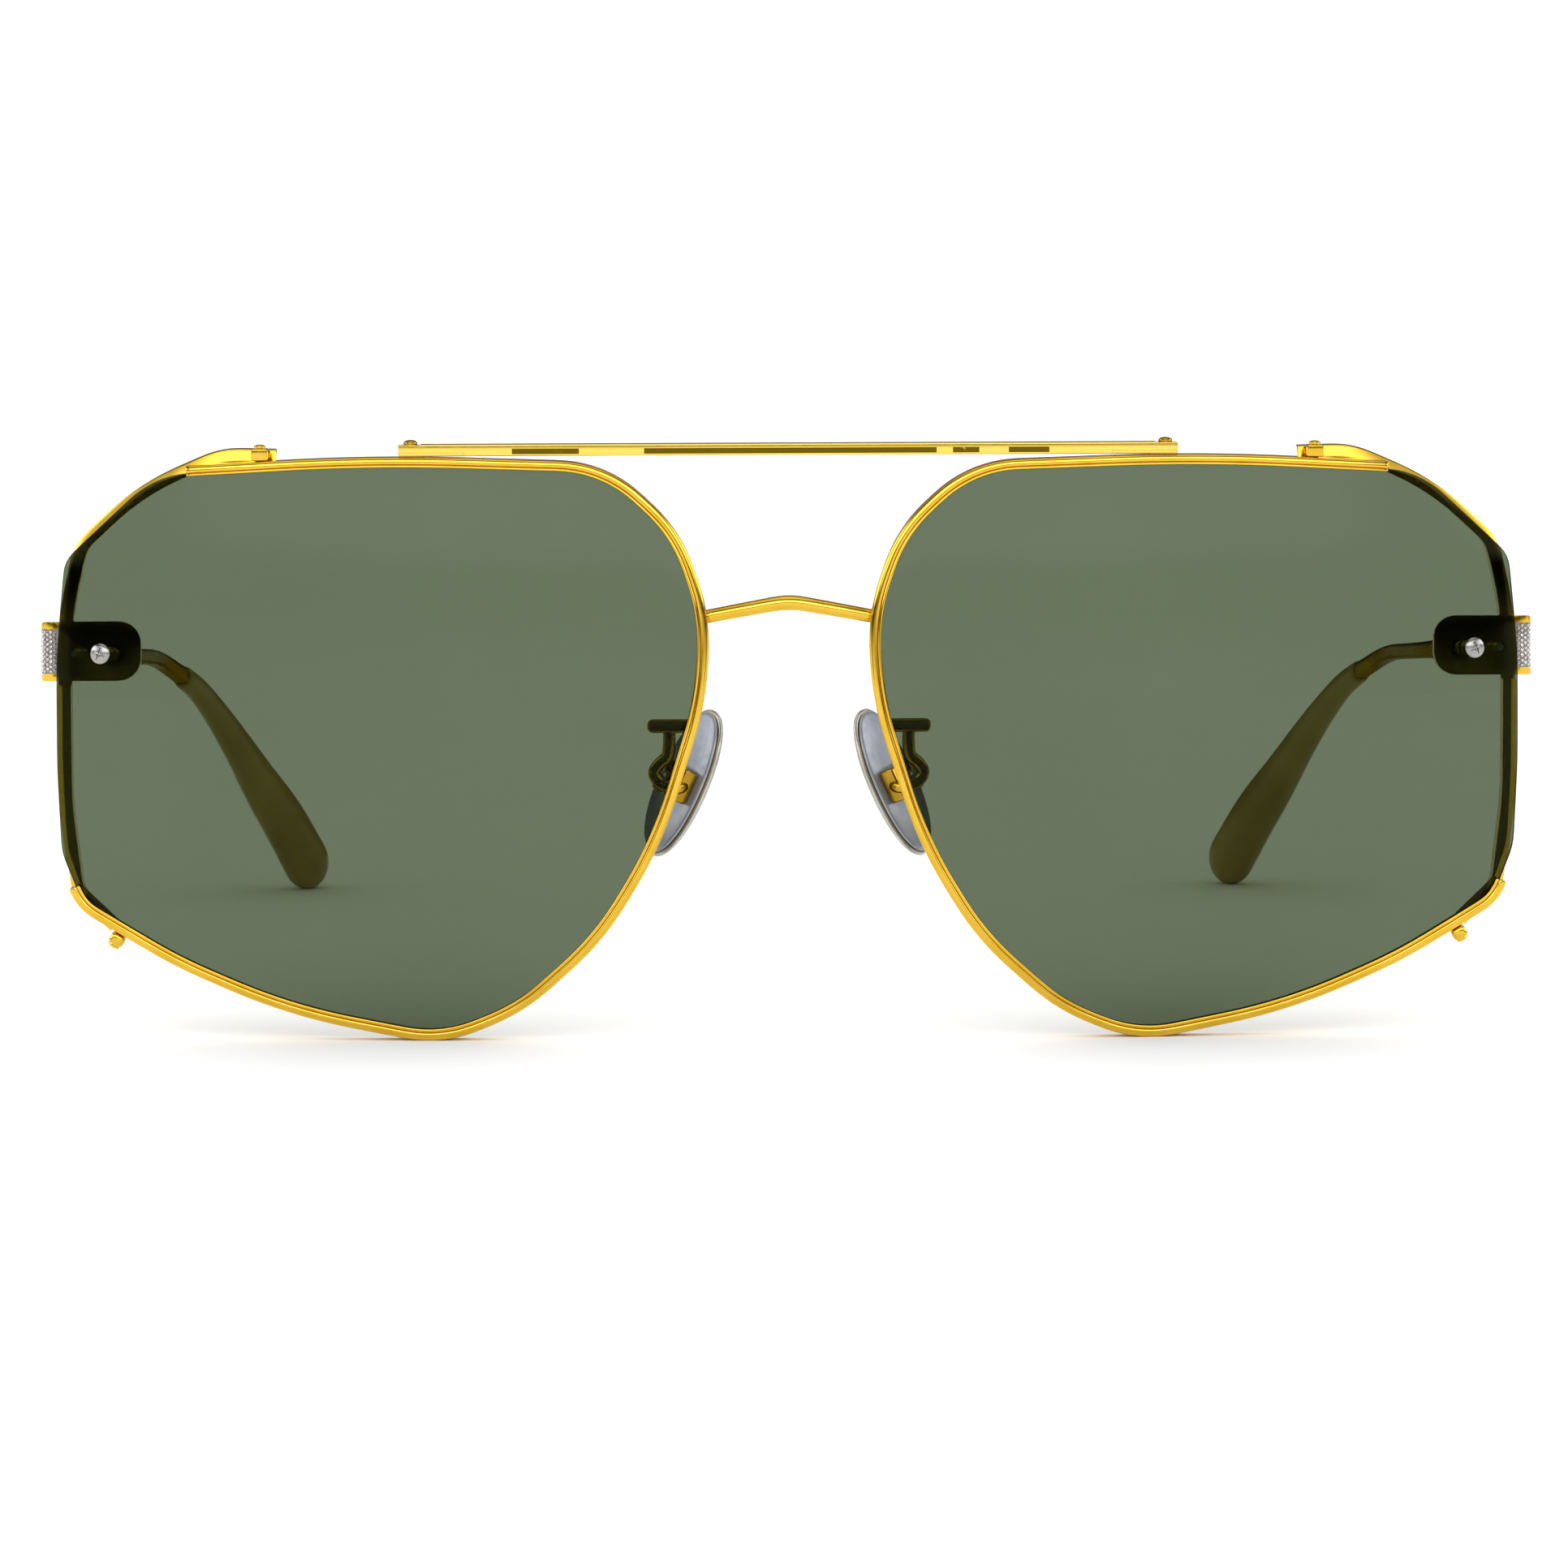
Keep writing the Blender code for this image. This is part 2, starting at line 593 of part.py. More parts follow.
def build_end_piece(hinge):
    """End piece: plate, bent wall, hinge lugs, recess for the inlay and hole for the lens screw."""
    half = PLATE_HEIGHT / 2
    plan = wall_outline(0, PLATE_THICKNESS, PLATE_INNER_X, WALL_REAR_Y)
    end_piece = plan_solid("end_piece_right", plan, half, GOLD, hinge)
    left = PLATE_INNER_X / MM
    right = WALL_OUTER_X / MM
    top = half / MM
    front = ((left, -top, PLATE_CORNER), (right, -top, WALL_EDGE), (right, top, WALL_EDGE),
             (left, top, PLATE_CORNER))
    front_view = extruded("end_piece_front_cutter", round_corners(front, True), 20 * MM)
    front_view.data.transform(Matrix.Rotation(math.pi / 2, 4, "X"))
    place(front_view, hinge)
    boolean(end_piece, front_view, "INTERSECT")
    recess_plan = wall_outline(-1 * MM, INLAY_DEPTH + 1 * MM, INLAY_START_X - CLEARANCE,
                               INLAY_REAR_Y + CLEARANCE)
    recess = plan_solid("inlay_recess", recess_plan, INLAY_HEIGHT / 2 + CLEARANCE, parent=hinge)
    boolean(end_piece, recess)
    for name, sign in (("upper", 1), ("lower", -1)):
        lug = plan_solid(f"hinge_lug_{name}", LUG_PLAN, (LUG_OUTER - LUG_INNER) / 2, parent=hinge)
        lug.data.transform(Matrix.Translation((0, 0, sign * (LUG_INNER + LUG_OUTER) / 2)))
        boolean(end_piece, lug, "UNION")
    bore = place(cylinder("hinge_bore", HINGE_BORE, -4 * MM, 4 * MM, sides=16), hinge)
    boolean(end_piece, bore)
    hole = cylinder("plate_screw_hole", LENS_HOLE_RADIUS, -5 * MM, 0, sides=16)
    place(hole, matrix=surface_frame(*LENS_SCREW_AT))
    boolean(end_piece, hole)
    inlay_plan = wall_outline(CLEARANCE, INLAY_DEPTH - 2 * CLEARANCE, INLAY_START_X, INLAY_REAR_Y)
    inlay = plan_solid("inlay_right", inlay_plan, INLAY_HEIGHT / 2, SILVER, hinge)
    return [end_piece, inlay]


def build_hinge_screw(hinge):
    """Hinge screw through both lugs and the temple's knuckle."""
    profile = [Vector(point) * MM for point in HINGE_SCREW_PROFILE]
    screw = turned("hinge_screw_right", profile, STEEL, steps=12)
    slot = place(box("hinge_screw_slot", HINGE_SCREW_SLOT, (0, 0, 3.0 * MM)), hinge)
    boolean(screw, slot)
    return place(screw, hinge)


def build_lens_fixings():
    """Cross-recessed screw in front of the lens, its nut behind the plate, and the peg."""
    frame = surface_frame(*LENS_SCREW_AT)
    face = LENS_THICKNESS / 2 + CLEARANCE
    shank = LENS_SCREW_SHANK_RADIUS
    profile = [Vector((radius, face / MM + height)) * MM for radius, height in LENS_SCREW_HEAD]
    profile += [(shank, face), (shank, LENS_SCREW_END), (0, LENS_SCREW_END)]
    screw = turned("lens_screw_right", profile, STEEL, steps=16)
    place(screw, matrix=frame)
    recess_frame = frame @ Matrix.Translation((0, 0, face + 0.55 * MM))
    for turn in (CROSS_RECESS_TURN, CROSS_RECESS_TURN + math.pi / 2):
        slot = box("cross_recess", CROSS_RECESS_SIZE)
        place(slot, matrix=recess_frame @ Matrix.Rotation(turn, 4, "Z"))
        boolean(screw, slot)
    nut = cylinder("lens_nut_right", NUT_RADIUS, *NUT_SPAN, STEEL, sides=6)
    nut_bore = cylinder("lens_nut_bore", shank + CLEARANCE, -6 * MM, 0, sides=20)
    for piece in (nut, nut_bore):
        place(piece, matrix=frame)
    boolean(nut, nut_bore)
    peg = cylinder("lens_peg_right", PEG_RADIUS, *PEG_SPAN, STEEL, sides=12)
    place(peg, matrix=surface_frame(*LENS_PEG_AT))
    return [screw, nut, peg]


def core_stations(radius, extra):
    """Stations of the core wire, or of its bore when it runs on by extra beyond the wire's end."""
    tip_path = smooth_path([Vector(station) * MM for station in TIP_STATIONS], 2)
    root = Vector(TEMPLE_STATIONS[-1][:3]) * MM
    points = [root]
    for station in tip_path[1:]:
        if (station.to_3d() - root).length < CORE_LENGTH:
            points.append(station.to_3d())
    points.insert(0, root - (points[1] - root).normalized() * CORE_ROOT)
    if extra:
        points.append(points[-1] + (points[-1] - points[-2]).normalized() * extra)
    diameter = 2 * radius / MM
    return [(*(point / MM), diameter, diameter) for point in points]


def build_temple(hinge):
    """Temple bar with its knuckle and its core wire, and the sleeve over that wire."""
    temple = loft("temple_right", TEMPLE_STATIONS, GOLD, steps=2, power=BAR_SQUARENESS)
    core = loft("temple_core", core_stations(CORE_RADIUS, 0), sides=8, steps=1)
    knuckle = plan_solid("temple_knuckle", KNUCKLE_PLAN, LUG_INNER - LUG_GAP)
    bore = cylinder("temple_knuckle_bore", HINGE_BORE, -4 * MM, 4 * MM, sides=16)
    tip = loft("temple_tip_right", TIP_STATIONS, ACETATE, steps=2, dome=TIP_DOME_LENGTH)
    tip_bore = loft("tip_bore", core_stations(CORE_BORE, 0.3 * MM), sides=8, steps=1)
    for piece in (temple, core, knuckle, bore, tip, tip_bore):
        place(piece, hinge)
    boolean(temple, core, "UNION")
    boolean(temple, knuckle, "UNION")
    boolean(temple, bore)
    boolean(tip, tip_bore)
    shade_smooth(temple)
    shade_smooth(tip)
    return [temple, tip]


def build_nose_pad(pad_frame):
    """Nose pad, its backing plate, and the box that the arm holds it by."""
    stand = Matrix.Rotation(math.pi / 2, 4, "X")
    shape = Matrix.Diagonal((PAD_WIDTH / 2, PAD_THICKNESS, PAD_LENGTH / 2, 1))

    def build(work):
        bmesh.ops.create_uvsphere(work, u_segments=20, v_segments=10, radius=1)
        bmesh.ops.transform(work, matrix=shape @ stand, verts=work.verts)
        bmesh.ops.bisect_plane(work, geom=[*work.verts, *work.edges, *work.faces], plane_co=(0, 0, 0),
                               plane_no=(0, -1, 0), clear_outer=True)
        bmesh.ops.holes_fill(work, edges=[edge for edge in work.edges if edge.is_boundary])
    pad = place(mesh_object("nose_pad_right", build, PAD_MATERIAL), pad_frame)
    shade_smooth(pad, math.radians(50))

    def build_backing(work):
        bmesh.ops.create_cone(work, cap_ends=True, segments=24, radius1=1, radius2=1, depth=1,
                              matrix=stand)
        size = Matrix.Diagonal((PAD_WIDTH / 2 - BACKING_MARGIN, BACKING_THICKNESS,
                                PAD_LENGTH / 2 - BACKING_MARGIN, 1))
        matrix = Matrix.Translation((0, BACKING_Y, 0)) @ size
        bmesh.ops.transform(work, matrix=matrix, verts=work.verts)
    backing = place(mesh_object("pad_backing_right", build_backing, GREY), pad_frame)
    box_back_y = PAD_BOX_Y - PAD_BOX_SIZE[1]
    pad_box = box("pad_box_right", PAD_BOX_SIZE, (0, (PAD_BOX_Y + box_back_y) / 2, 0), GOLD)
    place(pad_box, pad_frame)
    screw_spot = Matrix.Translation((0, box_back_y, 0)) @ stand
    bore = cylinder("pad_box_bore", SMALL_BORE_RADIUS, -1.0 * MM, 1 * MM, sides=12)
    place(bore, pad_frame, screw_spot)
    boolean(pad_box, bore)
    profile = dome_screw_profile(0.6 * MM, 0.35 * MM, SMALL_SHANK_RADIUS, 0.8 * MM)
    screw = turned("pad_screw_right", profile, STEEL, steps=10)
    place(screw, pad_frame, screw_spot)
    return [pad, backing, pad_box, screw]


def build_pad_arm():
    """Pad arm: a foot behind the rim and a wire that hooks down and back to the pad box."""
    points = smooth_path([Vector(point) * MM for point in PAD_ARM_POINTS], 2)
    arm = wire("pad_arm_right", points, PAD_ARM_RADIUS, GOLD)
    foot = box("pad_arm_foot", PAD_FOOT_SIZE, PAD_FOOT_AT)
    boolean(arm, foot, "UNION")
    return arm


def empty(name, matrix):
    """An empty that marks a joint frame."""
    frame = bpy.data.objects.new(name, None)
    frame.empty_display_size = 5 * MM
    PARTS.objects.link(frame)
    frame.matrix_world = matrix
    return frame


def mirror_to_left(source, left_parents):
    """Copy a finished right-hand object to the other side as an object of its own."""
    flip = Matrix.Diagonal((-1, 1, 1, 1))
    evaluated = source.evaluated_get(bpy.context.evaluated_depsgraph_get())
    mesh = bpy.data.meshes.new_from_object(evaluated)
    mesh.transform(flip)
    mesh.flip_normals()
    copy = add_object(source.name.replace("_right", "_left"), mesh, PARTS)
    if source.parent:
        copy.parent = left_parents[source.parent.name]
    copy.matrix_world = flip @ source.matrix_world @ flip


def build_all():
    """Build the middle pieces, the right side, and the mirrored left side."""
    build_top_bar()
    build_bridge()
    flip = Matrix.Diagonal((-1, 1, 1, 1))
    hinge_matrix = Matrix.Translation(HINGE_POINT) @ Matrix.Rotation(-TEMPLE_SLOPE, 4, "X")
    pad_matrix = (Matrix.Translation(PAD_CENTRE) @ Matrix.Rotation(PAD_TILT, 4, "Y")
                  @ Matrix.Rotation(PAD_SPLAY, 4, "Z"))
    hinge = empty("hinge_axis_right", hinge_matrix)
    pad_frame = empty("pad_axis_right", pad_matrix)
    left_parents = {
        hinge.name: empty("hinge_axis_left", flip @ hinge_matrix @ flip),
        pad_frame.name: empty("pad_axis_left", flip @ pad_matrix @ flip),
    }
    pieces = [build_lens(), build_rim(), build_side_band(), *build_posts(), *build_end_piece(hinge),
              build_hinge_screw(hinge), *build_lens_fixings(), *build_temple(hinge),
              *build_nose_pad(pad_frame), build_pad_arm()]
    bpy.context.view_layer.update()
    for piece in pieces:
        mirror_to_left(piece, left_parents)


def centre_on_floor():
    """Move everything so that the origin is the middle of the underside of the bounding box."""
    bpy.context.view_layer.update()
    graph = bpy.context.evaluated_depsgraph_get()
    points = [part.matrix_world @ vertex.co for part in PARTS.objects if part.type == "MESH"
              for vertex in part.evaluated_get(graph).data.vertices]
    depths = [point.y for point in points]
    shift = Vector((0, -(min(depths) + max(depths)) / 2, -min(point.z for point in points)))
    for scene_object in [*PARTS.objects, *CUTTERS.objects]:
        if not scene_object.parent:
            scene_object.matrix_world = Matrix.Translation(shift) @ scene_object.matrix_world


clear_scene()
PARTS = make_collection(OBJECT_NAME)
CUTTERS = make_collection("cutters")
GOLD = make_material("polished_gold", (0.80, 0.52, 0.08), 0.18, 1.0)
STEEL = make_material("polished_steel", (0.62, 0.61, 0.58), 0.22, 1.0)
SILVER = make_material("pave_silver", (0.45, 0.43, 0.40), 0.35, 1.0)
GREY = make_material("pad_backing_grey", (0.26, 0.27, 0.30), 0.30, 0.6)
PAD_MATERIAL = make_material("pad_pearl", (0.62, 0.63, 0.60), 0.25, 0.3)
LENS_MATERIAL = make_material("green_grey_lens", (0.16, 0.20, 0.13), 0.02, 0.0, 0.9)
ACETATE = make_material("honey_acetate", (0.45, 0.22, 0.03), 0.12, 0.0, 0.5)
build_all()
centre_on_floor()
for cutter in CUTTERS.objects:
    cutter.hide_render = True
    cutter.display_type = "WIRE"
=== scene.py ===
"""Aviator sunglasses: the visual model around the CAD frame.

Shapes are built in millimetres in the frame's own axes, +X side first, and then mirrored.
"""
import math
import random

import bmesh
import bpy
from mathutils import Matrix, Quaternion, Vector


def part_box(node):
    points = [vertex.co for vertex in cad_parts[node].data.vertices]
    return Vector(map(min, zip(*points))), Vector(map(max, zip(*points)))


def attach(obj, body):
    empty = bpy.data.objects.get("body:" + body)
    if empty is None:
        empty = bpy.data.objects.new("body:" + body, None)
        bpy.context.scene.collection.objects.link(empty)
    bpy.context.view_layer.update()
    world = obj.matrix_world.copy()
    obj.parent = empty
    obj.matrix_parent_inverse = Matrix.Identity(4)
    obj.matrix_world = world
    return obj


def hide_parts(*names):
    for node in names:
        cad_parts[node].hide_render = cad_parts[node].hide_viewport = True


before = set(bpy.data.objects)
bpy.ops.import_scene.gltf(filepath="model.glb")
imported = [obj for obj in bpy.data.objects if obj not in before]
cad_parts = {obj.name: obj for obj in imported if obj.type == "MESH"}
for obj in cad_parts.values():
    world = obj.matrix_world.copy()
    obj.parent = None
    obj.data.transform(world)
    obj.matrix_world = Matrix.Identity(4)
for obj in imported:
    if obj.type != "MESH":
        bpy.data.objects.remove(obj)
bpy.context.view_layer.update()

MM = 0.001
MIRROR = Matrix.Diagonal((-1, 1, 1, 1))
STAND = Matrix.Rotation(math.pi / 2, 4, "X")
random.seed(7)

# Brow bar, which also ties this script's millimetres to the frame
BAR_HALF_LENGTH = 38.4
BAR_Y = 2.95
BAR_DEPTH = 2.4
BAR_BOTTOM = 57.84
BAR_TOP = 59.0
BAR_FOOT_LENGTH = 6.4
BAR_FOOT_HEIGHT = 0.36
BAR_FOOT_REACH = 0.12
BAR_FOOT_LIFT = 0.06
BAR_FOOT_INSET = 0.15
BAR_SCREW_X = 37.2
BAR_SEAT_START_X = 36.2
BAR_SEAT_DEPTH = 0.1

# Lens surface and outline
BASE_RADIUS = 125.0
WRAP_SLOPE = math.tan(math.radians(5))
LENS_CENTRE = Vector((40.2, 28.5))
LENS_THICKNESS = 1.8
LENS_CORNERS = (
    (62.55, 55.93, 10), (41.0, 57.25, 200), (18.2, 56.5, 12), (11.2, 50.0, 14),
    (8.45, 42.0, 18), (8.8, 34.0, 32), (13.35, 19.6, 42), (19.0, 10.4, 28),
    (26.8, 3.35, 20), (34.6, 0.2, 12), (49.5, 3.1, 60), (60.6, 7.75, 50),
    (70.3, 13.3, 4), (72.3, 18.4, 4), (72.65, 27.0, 90), (72.6, 38.0, 40), (71.75, 47.4, 2.5),
)
RIM_TOP_END_X = 59.65
RIM_LOW_END_Z = 15.0

# Rim section as (outward, forward): a lens channel from the back lip to the front ridges
RIM_BACK = (
    (0.10, 1.0), (0.10, -1.0), (-0.30, -1.0), (-0.35, -1.06), (-0.35, -1.32), (-0.28, -1.40),
)
# Strips of the back lip that get painted shade, the near-black gold, where the lens darkens the gold
# behind it
RIM_LIP_PAINTED_SHADE_STRIPS = range(4)
RIM_OUTER_CORNER = (0.48, -1.18, 0.22)
# The broad and the fine front ridge as (centre, half width, height, flatness)
RIM_RIDGES = ((0.35, 0.35, 0.27, 0.7), (-0.16, 0.15, 0.19, 0.8))
RIM_RIDGE_FOOT = 1.15
RIM_FRONT_LIP = ((-0.32, 1.10), (-0.30, 1.02))
LIP_START = 1.01
LIP_GROWTH = 0.18

# Side band and its posts
BAND_CORNERS = (
    (67.5, 10.45, 0), (71.3, 13.9, 2.5), (72.35, 23, 40), (72.35, 41, 40), (70.6, 48.9, 4),
    (64.3, 54.7, 25), (56.2, 58.2, 9), (50.6, 58.1, 0),
)
BAND_OUTER = 0.25
BAND_INNER = 1.12
BAND_EDGE_ROUND = 0.14
# The part of the band that gets painted shade, the near-black gold, because it shows dark with the
# lens in front of it
BAND_SHADE_START = 0.44
BAND_SHADE_STRIPS = range(5, 11)
BAND_SHADE_HEIGHTS = (17.0, 48.2)
BAND_FRONT = 1.55
BAND_BACK = 4.15
BAND_NOTCH_HEIGHT = 6.4
BAND_NOTCH_DEPTH = 1.3
BAND_NOTCH_BLOCK = Vector((4, 6, BAND_NOTCH_HEIGHT))
BAND_NOTCH_X = 72.4
BAND_EDGE_X = 72.35
# Each post as (x, z, turn, width, rounding)
POSTS = {
    "top": (52.15, 57.94, 0.0, 1.6, 0.14),
    "bottom": (66.85, 9.72, math.radians(149), 1.5, 0.35),
}
POST_HEIGHT = 1.17
POST_DEPTH = 2.5

BRIDGE_POINTS = (
    (8.3, 2.12, 41.9), (7.72, 2.0, 42.0), (5.2, 1.5, 42.5), (2.6, 1.1, 43.0), (1.0, 0.92, 43.28),
    (0.0, 0.88, 43.34),
)
BRIDGE_RADIUS = 0.68
BRIDGE_SWELL = 0.07

# Hinge and end piece, in the hinge frame
TEMPLE_SLOPE = math.radians(4.8)
HINGE_FRAME = Matrix.Translation((72.0, 22.0, 37.15)) @ Matrix.Rotation(-TEMPLE_SLOPE, 4, "X")
HINGE_BORE = 0.62
LUG_INNER = 1.0
LUG_OUTER = 2.3
LUG_PLAN = (
    (-0.2, -4.2, 0), (1.7, -4.2, 0), (1.7, -1.7, 0), (1.2, -1.5, 0), (1.2, 1.2, 1.15),
    (-1.2, 1.2, 1.15), (-1.2, -1.2, 1.0),
)
KNUCKLE_PLAN = (
    (-1.2, -1.2, 1.15), (1.2, -1.2, 1.15), (1.7, 1.6, 0), (1.7, 5.0, 0), (-0.2, 2.6, 0.8),
    (-1.2, 0.8, 0.5),
)
PLATE_HEIGHT = 5.9
PLATE_INNER_X = -7.9
PLATE_CORNER = 2.3
WALL_EDGE = 0.45
PLATE_FRONT_Y = -16.1
PLATE_SLOPE = 0.318
# Length along the sloping plate for each unit across
PLATE_SLANT = 1.05
PLATE_THICKNESS = 1.2
WALL_OUTER_X = 2.45
WALL_REAR_Y = -1.3
WALL_CORNER = 2.0
INLAY_HEIGHT = 4.45
INLAY_DEPTH = 0.25
INLAY_START_X = 0.55
INLAY_REAR_Y = -4.0
LENS_SCREW_AT = (67.75, 38.22)
LENS_SCREW_HOLE = 0.75
LENS_PEG_AT = (70.8, 38.2)
PEG_HOLE = 0.5
PEG_HOLE_FRONT = 0.3
BOLT_HEAD = 1.05
BOLT_SHANK = 0.6
BOLT_RIM = 0.24
BOLT_DOME = 0.38
BOLT_CROSS_TURNS = (0.35, 0.35 + math.pi / 2)

# Temple and tip stations in the hinge frame: (x, y, z, height, thickness)
TEMPLE_STATIONS = (
    (1.9, -1.15, 0.0, 5.6, 1.05), (1.85, 5.0, 0.0, 5.3, 1.05), (1.2, 14.0, 0.0, 4.0, 1.3),
    (-0.6, 26.0, 0.0, 2.7, 1.6), (-2.0, 40.0, 0.0, 1.9, 1.7), (-2.4, 58.0, 0.0, 1.75, 1.7),
    (-2.5, 74.0, 0.0, 1.75, 1.7), (-3.0, 83.5, -0.5, 1.8, 1.75), (-4.55, 91.5, -1.95, 1.9, 1.8),
)
TIP_STATIONS = (
    (-4.6, 91.7, -2.0, 2.6, 2.35), (-6.15, 97.2, -3.75, 3.0, 2.4), (-8.0, 102.6, -6.7, 3.6, 2.7),
    (-10.0, 107.6, -10.3, 4.4, 3.2), (-12.1, 112.4, -14.35, 5.4, 3.9),
    (-14.7, 117.2, -18.95, 6.2, 4.7), (-17.0, 121.8, -23.7, 6.5, 5.0),
)
TIP_DOME_LENGTH = 3.6
CORE_RADIUS = 0.7
CORE_BORE = 0.85
CORE_LENGTH = 14.0

# Nose pad frame: local X across the pad, local Y out of its face, local Z along it
PAD_FRAME = (Matrix.Translation((10.65, 9.6, 24.8)) @ Matrix.Rotation(math.radians(-24), 4, "Y")
             @ Matrix.Rotation(math.radians(60), 4, "Z"))
PAD_LENGTH = 15.8
PAD_WIDTH = 9.0
PAD_THICKNESS = 1.35
PAD_OVAL_POWER = 2.15
PAD_EDGE_HEIGHT = 0.24
PAD_CAGE_SIZE = (4.9, 1.6, 3.4)
PAD_CAGE_X = -0.75
PAD_CAGE_FRONT_Y = -0.5
PAD_CAGE_GROOVE = 1.428
PAD_ARM_RADIUS = 0.6
PAD_ARM_POINTS = (
    (11.9, 3.5, 30.9), (11.9, 4.0, 29.3), (12.1, 4.6, 27.9), (12.85, 5.1, 27.15), (13.4, 5.4, 26.2),
    (12.9, 5.4, 25.25), (11.9, 5.35, 24.75), (10.95, 5.75, 24.6), (10.55, 6.5, 24.7),
    (10.76, 7.18, 24.85),
)
PAD_FOOT_SIZE = (4.5, 1.2, 1.35)
PAD_FOOT_AT = (11.8, 3.4, 31.0)

BAR_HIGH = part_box("top_bar")[1]
FRAME_SHIFT = Vector((0, BAR_HIGH.y - (BAR_Y + BAR_DEPTH / 2) * MM, BAR_HIGH.z - BAR_TOP * MM))
TO_FRAME = Matrix.Translation(FRAME_SHIFT) @ Matrix.Scale(MM, 4)


# -------- materials

def shader_of(name):
    """A new material with its node tree and its Principled shader."""
    material = bpy.data.materials.new(name)
    material.use_nodes = True
    return material, material.node_tree, material.node_tree.nodes["Principled BSDF"]


def set_inputs(shader, **values):
    """Set the shader's own sockets; an underscore in a name stands for a space."""
    for name, value in values.items():
        shader.inputs[name.replace("_", " ")].default_value = value


def noise(tree, scale, detail=3.0, stretch=(1, 1, 1)):
    """Noise in the object's own coordinates; scale is in features per metre."""
    place = tree.nodes.new("ShaderNodeTexCoord")
    mapping = tree.nodes.new("ShaderNodeMapping")
    mapping.inputs["Scale"].default_value = stretch
    texture = tree.nodes.new("ShaderNodeTexNoise")
    texture.inputs["Scale"].default_value = scale
    texture.inputs["Detail"].default_value = detail
    tree.links.new(place.outputs["Object"], mapping.inputs["Vector"])
    tree.links.new(mapping.outputs["Vector"], texture.inputs["Vector"])
    return texture.outputs["Fac"]


def vary_roughness(tree, source, shader, low, high, start=0.3, end=0.7):
    """Drive the roughness from low to high as the source goes from start to end."""
    ramp = tree.nodes.new("ShaderNodeMapRange")
    ramp.inputs["From Min"].default_value = start
    ramp.inputs["From Max"].default_value = end
    ramp.inputs["To Min"].default_value = low
    ramp.inputs["To Max"].default_value = high
    tree.links.new(source, ramp.inputs["Value"])
    tree.links.new(ramp.outputs["Result"], shader.inputs["Roughness"])


def vary_colour(tree, source, shader, first, second, start=0.35, end=0.65):
    """Blend the base colour between two colours as the source goes from start to end."""
    ramp = tree.nodes.new("ShaderNodeValToRGB")
    ramp.color_ramp.elements[0].position = start
    ramp.color_ramp.elements[0].color = (*first, 1)
    ramp.color_ramp.elements[1].position = end
    ramp.color_ramp.elements[1].color = (*second, 1)
    tree.links.new(source, ramp.inputs["Fac"])
    tree.links.new(ramp.outputs["Color"], shader.inputs["Base Color"])


def bump(tree, source, shader, strength, distance):
    """Raise the surface a little by the source."""
    node = tree.nodes.new("ShaderNodeBump")
    node.inputs["Strength"].default_value = strength
    node.inputs["Distance"].default_value = distance
    tree.links.new(source, node.inputs["Height"])
    tree.links.new(node.outputs["Normal"], shader.inputs["Normal"])


def metal(name, first, second, rough, grain=0.02, edge=(1.0, 1.0, 1.0)):
    """Polished or satin metal with a faint change of tone and a fine polishing grain."""
    material, tree, shader = shader_of(name)
    set_inputs(shader, Metallic=1.0, Specular_Tint=(*edge, 1.0))
    vary_colour(tree, noise(tree, 300), shader, first, second)
    vary_roughness(tree, noise(tree, 900, 4), shader, rough * 0.75, rough * 1.3)
    bump(tree, noise(tree, 5000, 2), shader, grain, 0.00002)
    return material


def maths(tree, operation, *values):
    """The result of a maths node, each value of which is a socket or a number."""
    node = tree.nodes.new("ShaderNodeMath")
    node.operation = operation
    for socket, value in zip(node.inputs, values):
        if isinstance(value, float):
            socket.default_value = value
        else:
            tree.links.new(value, socket)
    return node.outputs["Value"]


def split_place(tree, space):
    """The X, Y and Z sockets of a coordinate space."""
    place = tree.nodes.new("ShaderNodeTexCoord")
    split = tree.nodes.new("ShaderNodeSeparateXYZ")
    tree.links.new(place.outputs[space], split.inputs["Vector"])
    return split.outputs


def painted_reflection_gold():
    """Polished gold whose front carries a few long dark streaks, low down: painted reflections of the
    dark room, put into the base colour.
    """
    material, tree, shader = shader_of("painted_reflection_gold")
    set_inputs(shader, Metallic=1.0)
    x, y, z = split_place(tree, "Object")
    painted_reflection_mask, *others = [maths(tree, "COMPARE", x, centre * MM, half * MM) for centre, half in PAINTED_REFLECTION_STREAKS]
    for other in others:
        painted_reflection_mask = maths(tree, "MAXIMUM", painted_reflection_mask, other)
    middle = TO_FRAME @ Vector((0, BAR_Y - BAR_DEPTH / 2, BAR_BOTTOM + PAINTED_REFLECTION_LIFT))
    lower = maths(tree, "COMPARE", z, middle.z, PAINTED_REFLECTION_HALF_HEIGHT * MM)
    facing = maths(tree, "COMPARE", y, middle.y, PAINTED_REFLECTION_REACH * MM)
    for other in (lower, noise(tree, 900, 4), facing):
        painted_reflection_mask = maths(tree, "MULTIPLY", painted_reflection_mask, other)
    vary_colour(tree, painted_reflection_mask, shader, GOLD_TONE, PAINTED_REFLECTION_TONE, 0.05, 0.32)
    vary_roughness(tree, noise(tree, 900, 4), shader, 0.09, 0.16)
    return material


def lens_material():
    """Solid green-grey sunglass lens with an anti-reflection finish."""
    material, tree, shader = shader_of("tinted_lens")
    set_inputs(shader, Transmission_Weight=1.0, IOR=1.12)
    vary_colour(tree, noise(tree, 30), shader, LENS_TINT, LENS_TINT_DEEP)
    vary_roughness(tree, noise(tree, 120, 4), shader, 0.0, 0.012, 0.55, 0.8)
    return material


